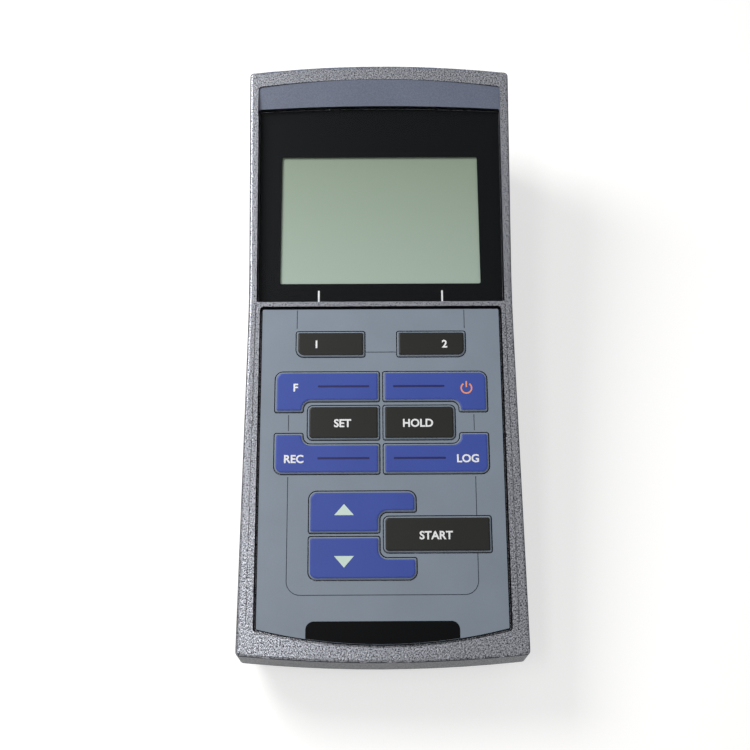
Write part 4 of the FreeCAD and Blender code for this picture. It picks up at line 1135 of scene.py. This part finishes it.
@dataclass
class Keypad:
    """Soft sheet, bare label strip and eleven keys with their prints."""

    palette: Palette
    painted_above: float = -0.08
    sheet_steepness: float = 0.9
    groove_floor: float = -0.5
    plateau_steepness: float = 0.3
    paint_growth: float = 0.28
    sharpest_share: float = 0.5
    face_top: float = 0.15
    ink_height: float = 0.02
    ink_depth: float = 0.01
    word_height: float = 2.3
    line_near: float = 3.4
    line_far: float = 18.2
    line_width: float = 0.6
    line_rounding: float = 0.96
    arrow_x: float = -10.6
    arrow_half: float = 2.75
    up_base_y: float = -50.1
    up_tip_y: float = -47.0
    down_base_y: float = -61.4
    down_tip_y: float = -64.6
    power_x: float = 24.5
    power_y: float = -13.7
    power_radius: float = 1.5
    power_stroke: float = 0.42
    power_gap_deg: float = 70.0
    power_steps: int = 30
    power_bar_low: float = 0.25
    power_bar_rise: float = 0.55
    power_bar_corner: float = 0.12

    def build(self) -> None:
        """Dress the sheet, the strip and the keys, and print on the keys."""
        paint_faces(refined("keypad_sheet"), slot_materials(self.palette, SheetSlot), self.sheet_slot)
        dress(self.palette, "label", "label_strip")
        for key in KEYS:
            piece = refined(key.node)
            paint_faces(piece, [self.palette["sheet"], self.palette[key.paint]], self.key_slot)
            self.widen_paint(piece)
            if key.word:
                word = letters(
                    key.node + "_word", key.word, self.word_height, key.word_x, key.word_y, self.face_top)
                attach(word, self.palette["white_ink"], key.node)
            if key.line_side:
                self.accent(key)
        self.arrows()
        self.power_mark()

    def sheet_slot(self, middle: Vector, normal: Vector) -> SheetSlot:
        """Slot of a face of the sheet.

        Args:
            middle: Middle of the face.
            normal: Its normal.

        Returns:
            RECESS for a steep wall, GROOVE for the floor of a fine groove, SHEET for the top; RECESS and
            GROOVE are painted shade.
        """
        # Steep walls of the sheet, round its keys and its edge, are painted near black as painted shade.
        if normal.z < self.sheet_steepness:
            return SheetSlot.RECESS
        # Groove floors get the darker copy of the sheet colour as painted shade.
        return SheetSlot.GROOVE if middle.z < self.groove_floor else SheetSlot.SHEET

    def key_slot(self, middle: Vector, normal: Vector) -> int:
        """Slot 1 for the painted plateau of a key, 0 for its softer base."""
        return 1 if middle.z > self.painted_above else 0

    def widen_paint(self, piece: Piece) -> None:
        """Widen the painted plateau of a key, whose border is narrower than in its solid.

        Args:
            piece: The key, already painted.
        """
        turn = FROM_ROW.to_3x3()
        steep: dict[int, list[Vector]] = {}
        for face in piece.data.polygons:
            normal = turn @ face.normal
            if face.material_index == 1 and abs(normal.z) < self.plateau_steepness:
                for index in face.vertices:
                    steep.setdefault(index, []).append(Vector((normal.x, normal.y, 0)).normalized())
        back = turn.inverted()
        for index, normals in steep.items():
            whole = sum(normals, Vector()).normalized()
            share = min(whole.dot(normal) for normal in normals)
            reach = self.paint_growth / max(share, self.sharpest_share)
            piece.data.vertices[index].co += back @ (whole * reach * MM)

    def mark(self, name: str, outline: Sequence[Point], finish: str, key: str) -> None:
        """Print a flat mark on a key.

        Args:
            name: Name of the mark.
            outline: Its outline.
            finish: Name of its ink.
            key: The key that it lies on.
        """
        low, high = self.face_top - self.ink_depth, self.face_top + self.ink_height
        attach(flat_piece(name, [outline], low, high), self.palette[finish], key)

    def accent(self, key: Key) -> None:
        """Thin dark line along a blue key.

        Args:
            key: The key that it lies on.
        """
        ends = sorted((key.line_side * self.line_near, key.line_side * self.line_far))
        half = self.line_width / 2
        outline = rounded_outline(box_corners(
            ends[0], key.line_y - half, ends[1], key.line_y + half, half * self.line_rounding))
        self.mark(key.node + "_line", outline, "navy_ink", key.node)

    def arrows(self) -> None:
        """Pale triangles on the two arrow keys."""
        middle = self.arrow_x
        left, right = middle - self.arrow_half, middle + self.arrow_half
        shapes = {
            "key_up": [(left, self.up_base_y), (right, self.up_base_y), (middle, self.up_tip_y)],
            "key_down": [(right, self.down_base_y), (left, self.down_base_y), (middle, self.down_tip_y)],
        }
        for key, outline in shapes.items():
            self.mark(key + "_arrow", outline, "mint_ink", key)

    def power_mark(self) -> None:
        """Open ring with a bar, for switching on and off."""
        gap = math.radians(self.power_gap_deg)
        half = self.power_stroke / 2
        steps = self.power_steps
        arc = [math.pi / 2 + gap / 2 + (2 * math.pi - gap) * step / steps for step in range(steps + 1)]
        ring = [
            (self.power_x + radius * math.cos(angle), self.power_y + radius * math.sin(angle))
            for radius, angles in ((self.power_radius + half, arc), (self.power_radius - half, arc[::-1]))
            for angle in angles]
        bar_top = self.power_y + self.power_radius + self.power_bar_rise
        bar = rounded_outline(box_corners(
            self.power_x - half, self.power_y + self.power_bar_low, self.power_x + half, bar_top,
            self.power_bar_corner))
        self.mark("power_ring", ring, "orange_ink", "key_power")
        self.mark("power_bar", bar, "orange_ink", "key_power")


@dataclass
class SocketField:
    """Measuring socket, USB socket and flap on the display end."""

    palette: Palette
    socket_x: float = -11.0
    socket_z: float = -24.6
    circle_radius: float = 4.3
    contact_radius: float = 0.75
    hole_radius: float = 0.45
    contact_front_y: float = 83.7
    contact_back_y: float = 79.7
    contacts_around: int = 7
    hole_bottom_share: float = 0.3

    def build(self) -> None:
        """Dress the sockets and make the contacts."""
        dress(self.palette, "steel", "socket_shell", "socket_nut", "usb_socket")
        dress(self.palette, "insert", "socket_insert")
        dress(self.palette, "seal", "socket_ring")
        dress(self.palette, "rubber", "usb_flap", "flap_anchor")
        self.contacts()

    def contacts(self) -> None:
        """Sleeve contacts in a ring round one in the middle."""
        pattern = Pattern("sleeve_contacts", {
            "Around": self.contacts_around, "Circle radius": self.circle_radius * MM,
            "Sleeve radius": self.contact_radius * MM, "Hole radius": self.hole_radius * MM,
            "Length": (self.contact_front_y - self.contact_back_y) * MM})
        given = pattern.given
        circle = pattern.add("MeshCircle", {"Vertices": given["Around"], "Radius": given["Circle radius"]})
        everywhere = pattern.joined([circle.outputs["Mesh"], given["Geometry"]])
        sleeve = pattern.rod(given["Sleeve radius"], 0.0, given["Length"], 24)
        bottom = pattern.math("MULTIPLY", given["Length"], self.hole_bottom_share)
        hole = pattern.rod(given["Hole radius"], bottom, pattern.math("ADD", given["Length"], MM), 16)
        contact = pattern.cut(sleeve, [hole])
        placed = pattern.add("InstanceOnPoints", {"Points": everywhere, "Instance": contact})
        pattern.finish(placed.outputs["Instances"])
        upright = Matrix.Rotation(math.radians(-90), 4, "X")
        spot = Matrix.Translation(Vector((self.socket_x, self.contact_back_y, self.socket_z)) * MM)
        first = Matrix.Rotation(math.radians(-90), 4, "Z")
        place = FACE @ spot @ upright @ first
        piece = pattern.make("sleeve_contacts", [(0, 0, 0)], self.palette["gold"], place)
        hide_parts("socket_contacts")
        attach(piece, self.palette["gold"], Body.HOUSING.value)


@dataclass
class Underside:
    """Battery cover with its seal, screws and grip ribs, and what lies in the bay."""

    palette: Palette
    hollow_radius: float = 14.0
    hollow_depth: float = 0.8
    rib_radius: float = 0.35
    rib_length: float = 11.0
    rib_count: int = 5
    rib_span_deg: float = 24.0
    hollow_inset: float = 14.9

    def build(self) -> None:
        """Dress the cover and the bay, and make the ribs."""
        dress(self.palette, "shell", "battery_cover")
        dress(self.palette, "seal", "cover_seal")
        dress(self.palette, "steel", "cover_screw_near", "cover_screw_far")
        dress(self.palette, "steel", "contact_plates", "contact_springs")
        dress(self.palette, "jacket", "battery_cells")
        self.ribs()

    def ribs(self) -> None:
        """Fine ribs that follow the floor of the thumb hollow."""
        low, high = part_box("battery_cover")
        pattern = Pattern("grip_ribs", {
            "Count": self.rib_count, "Hollow radius": self.hollow_radius * MM,
            "Rib radius": self.rib_radius * MM, "Rib length": self.rib_length * MM,
            "Span": math.radians(self.rib_span_deg)})
        given = pattern.given
        start = pattern.math("SUBTRACT", math.pi / 2, pattern.math("MULTIPLY", given["Span"], 0.5))
        arc = pattern.add(
            "CurveArc",
            {"Resolution": given["Count"], "Radius": given["Hollow radius"], "Start Angle": start,
             "Sweep Angle": given["Span"]}, mode="RADIUS")
        points = pattern.add("CurveToPoints", {"Curve": arc.outputs["Curve"]}, mode="EVALUATED")
        half = pattern.math("MULTIPLY", given["Rib length"], 0.5)
        rod = pattern.rod(given["Rib radius"], pattern.math("MULTIPLY", half, -1.0), half, 16)
        placed = pattern.add("InstanceOnPoints", {"Points": points.outputs["Points"], "Instance": rod})
        pattern.finish(placed.outputs["Instances"])
        axis_z = low.z + (self.hollow_depth - self.hollow_radius) * MM
        spot = Matrix.Translation((0, high.y - self.hollow_inset * MM, axis_z))
        across = Matrix.Rotation(math.radians(90), 4, "Y") @ Matrix.Rotation(math.radians(90), 4, "Z")
        piece = pattern.make("grip_ribs", [(0, 0, 0)], self.palette["wall"], spot @ across)
        attach(piece, self.palette["wall"], Body.COVER.value)


@dataclass
class Electronics:
    """Boards and what is on them."""

    palette: Palette

    def build(self) -> None:
        """Dress the boards, chips, domes, screws and buzzer."""
        dress(self.palette, "board", "main_board", "socket_board")
        dress(self.palette, "chip", "processor", "small_chips", "buzzer", "board_link")
        dress(self.palette, "gold", "key_domes")
        dress(self.palette, "steel", "board_screws")


@dataclass(frozen=True)
class Lamp:
    """Soft lamp that faces the meter, with its place and sides in metres and its power in watts."""

    name: str
    place: Corner
    width: float
    length: float
    power: float

    def build(self) -> None:
        """Make the lamp, with its length along the row."""
        data = bpy.data.lights.new(self.name, "AREA")
        data.shape = "RECTANGLE"
        data.size = self.width
        data.size_y = self.length
        data.energy = self.power
        lamp = bpy.data.objects.new(self.name, data)
        lamp.location = self.place
        back = Vector(self.place).normalized()
        along = (Vector((0, 1, 0)) - back * back.y).normalized()
        lamp.rotation_euler = Matrix((along.cross(back), along, back)).transposed().to_euler()
        bpy.context.scene.collection.objects.link(lamp)


@dataclass
class Studio:
    """Floor, soft light and the photograph's camera, whose angles are in radians."""

    pitch: float = -0.257398690
    roll: float = 0.005070007
    yaw: float = 0.002079764
    shift_x: float = 1.70111604
    shift_y: float = 9.37297964
    distance: float = 319.751249
    focal_share: float = 1100 / 750
    sensor: float = 36.0
    clip_near: float = 10.0
    clip_far: float = 20000.0
    floor_half: float = 1500.0
    floor_thickness: float = 5.0
    floor_cloud: float = 60.0
    room_light: float = 0.33
    floor_glow: float = 0.33
    glow_strength: float = 1.75
    seen_light: float = 1.0
    lamps: tuple[Lamp, ...] = (
        Lamp("key_lamp", (-0.25, 0.15, 0.34), 0.2, 0.2, 1.4),
        Lamp("side_lamp", (-0.11, -0.135, 0.45), 0.06, 0.16, 0.25))

    def build(self) -> None:
        """Make the camera, the floor, the room and the lamps."""
        self.camera()
        self.floor()
        self.room()
        for lamp in self.lamps:
            lamp.build()

    def camera(self) -> None:
        """Camera at the photograph's viewing angle."""
        data = bpy.data.cameras.new("camera")
        data.sensor_width = self.sensor
        data.lens = self.focal_share * self.sensor
        data.clip_start = self.clip_near * MM
        data.clip_end = self.clip_far * MM
        turn = (
            Matrix.Rotation(self.pitch, 4, "X") @ Matrix.Rotation(self.yaw, 4, "Y")
            @ Matrix.Rotation(self.roll, 4, "Z"))
        offset = Matrix.Translation(Vector((self.shift_x, self.shift_y, -self.distance)) * MM)
        eye = bpy.data.objects.new("camera", data)
        eye.matrix_world = FACE @ (offset @ turn).inverted()
        bpy.context.scene.collection.objects.link(eye)
        bpy.context.scene.camera = eye

    def floor(self) -> None:
        """Pale floor that keeps the meter's shadow."""
        half = self.floor_half
        outline = [(-half, -half), (half, -half), (half, half), (-half, half)]
        floor = flat_piece("floor", [outline], -self.floor_thickness, 0.0, Matrix.Identity(4))
        shader = Shader("pale_floor")
        shader.put(shader.surface.inputs["Base Color"], written(247, 246, 244))
        rough = shader.span(shader.noise(self.floor_cloud), 0.3, 0.7, 0.8, 0.9)
        shader.put(shader.surface.inputs["Roughness"], rough)
        glow = shader.add("Emission", {"Color": (1.0, 1.0, 1.0, 1.0), "Strength": self.glow_strength})
        share = self.seen(shader)
        blend = shader.add("MixShader", {
            0: share, 1: shader.surface.outputs["BSDF"], 2: glow.outputs["Emission"]})
        shader.put(shader.tree.nodes["Material Output"].inputs["Surface"], blend.outputs["Shader"])
        floor.data.materials.append(shader.material)

    def seen(self, shader: Shader) -> Socket:
        """Share of the floor's own glow, which only camera, mirror and glass rays see."""
        path = shader.add("LightPath")
        some = shader.math("MAXIMUM", path.outputs["Is Camera Ray"], path.outputs["Is Transmission Ray"])
        every = shader.math("MAXIMUM", some, path.outputs["Is Glossy Ray"])
        return shader.math("MULTIPLY", every, self.floor_glow)

    def room(self) -> None:
        """Even room light, white where the camera sees it."""
        world = bpy.data.worlds.new("room")
        world.use_nodes = True
        nodes, links = world.node_tree.nodes, world.node_tree.links
        background = nodes["Background"]
        background.inputs["Color"].default_value = (1.0, 1.0, 1.0, 1.0)
        path = nodes.new("ShaderNodeLightPath")
        strength = nodes.new("ShaderNodeMapRange")
        strength.inputs["To Min"].default_value = self.room_light
        strength.inputs["To Max"].default_value = self.seen_light
        links.new(path.outputs["Is Camera Ray"], strength.inputs["Value"])
        links.new(strength.outputs["Result"], background.inputs["Strength"])
        bpy.context.scene.world = world


def main() -> None:
    """Build the meter and its studio."""
    logging.basicConfig(level=logging.INFO, format="%(name)s %(message)s")
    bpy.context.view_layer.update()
    bpy.context.scene.view_settings.view_transform = "Standard"
    palette = Palette(Finishes())
    for assembly in (
            Housing(palette), Display(palette), Keypad(palette), SocketField(palette),
            Underside(palette), Electronics(palette), Studio()):
        log.info("building %s", type(assembly).__name__)
        assembly.build()


if __name__ == "__main__":
    main()
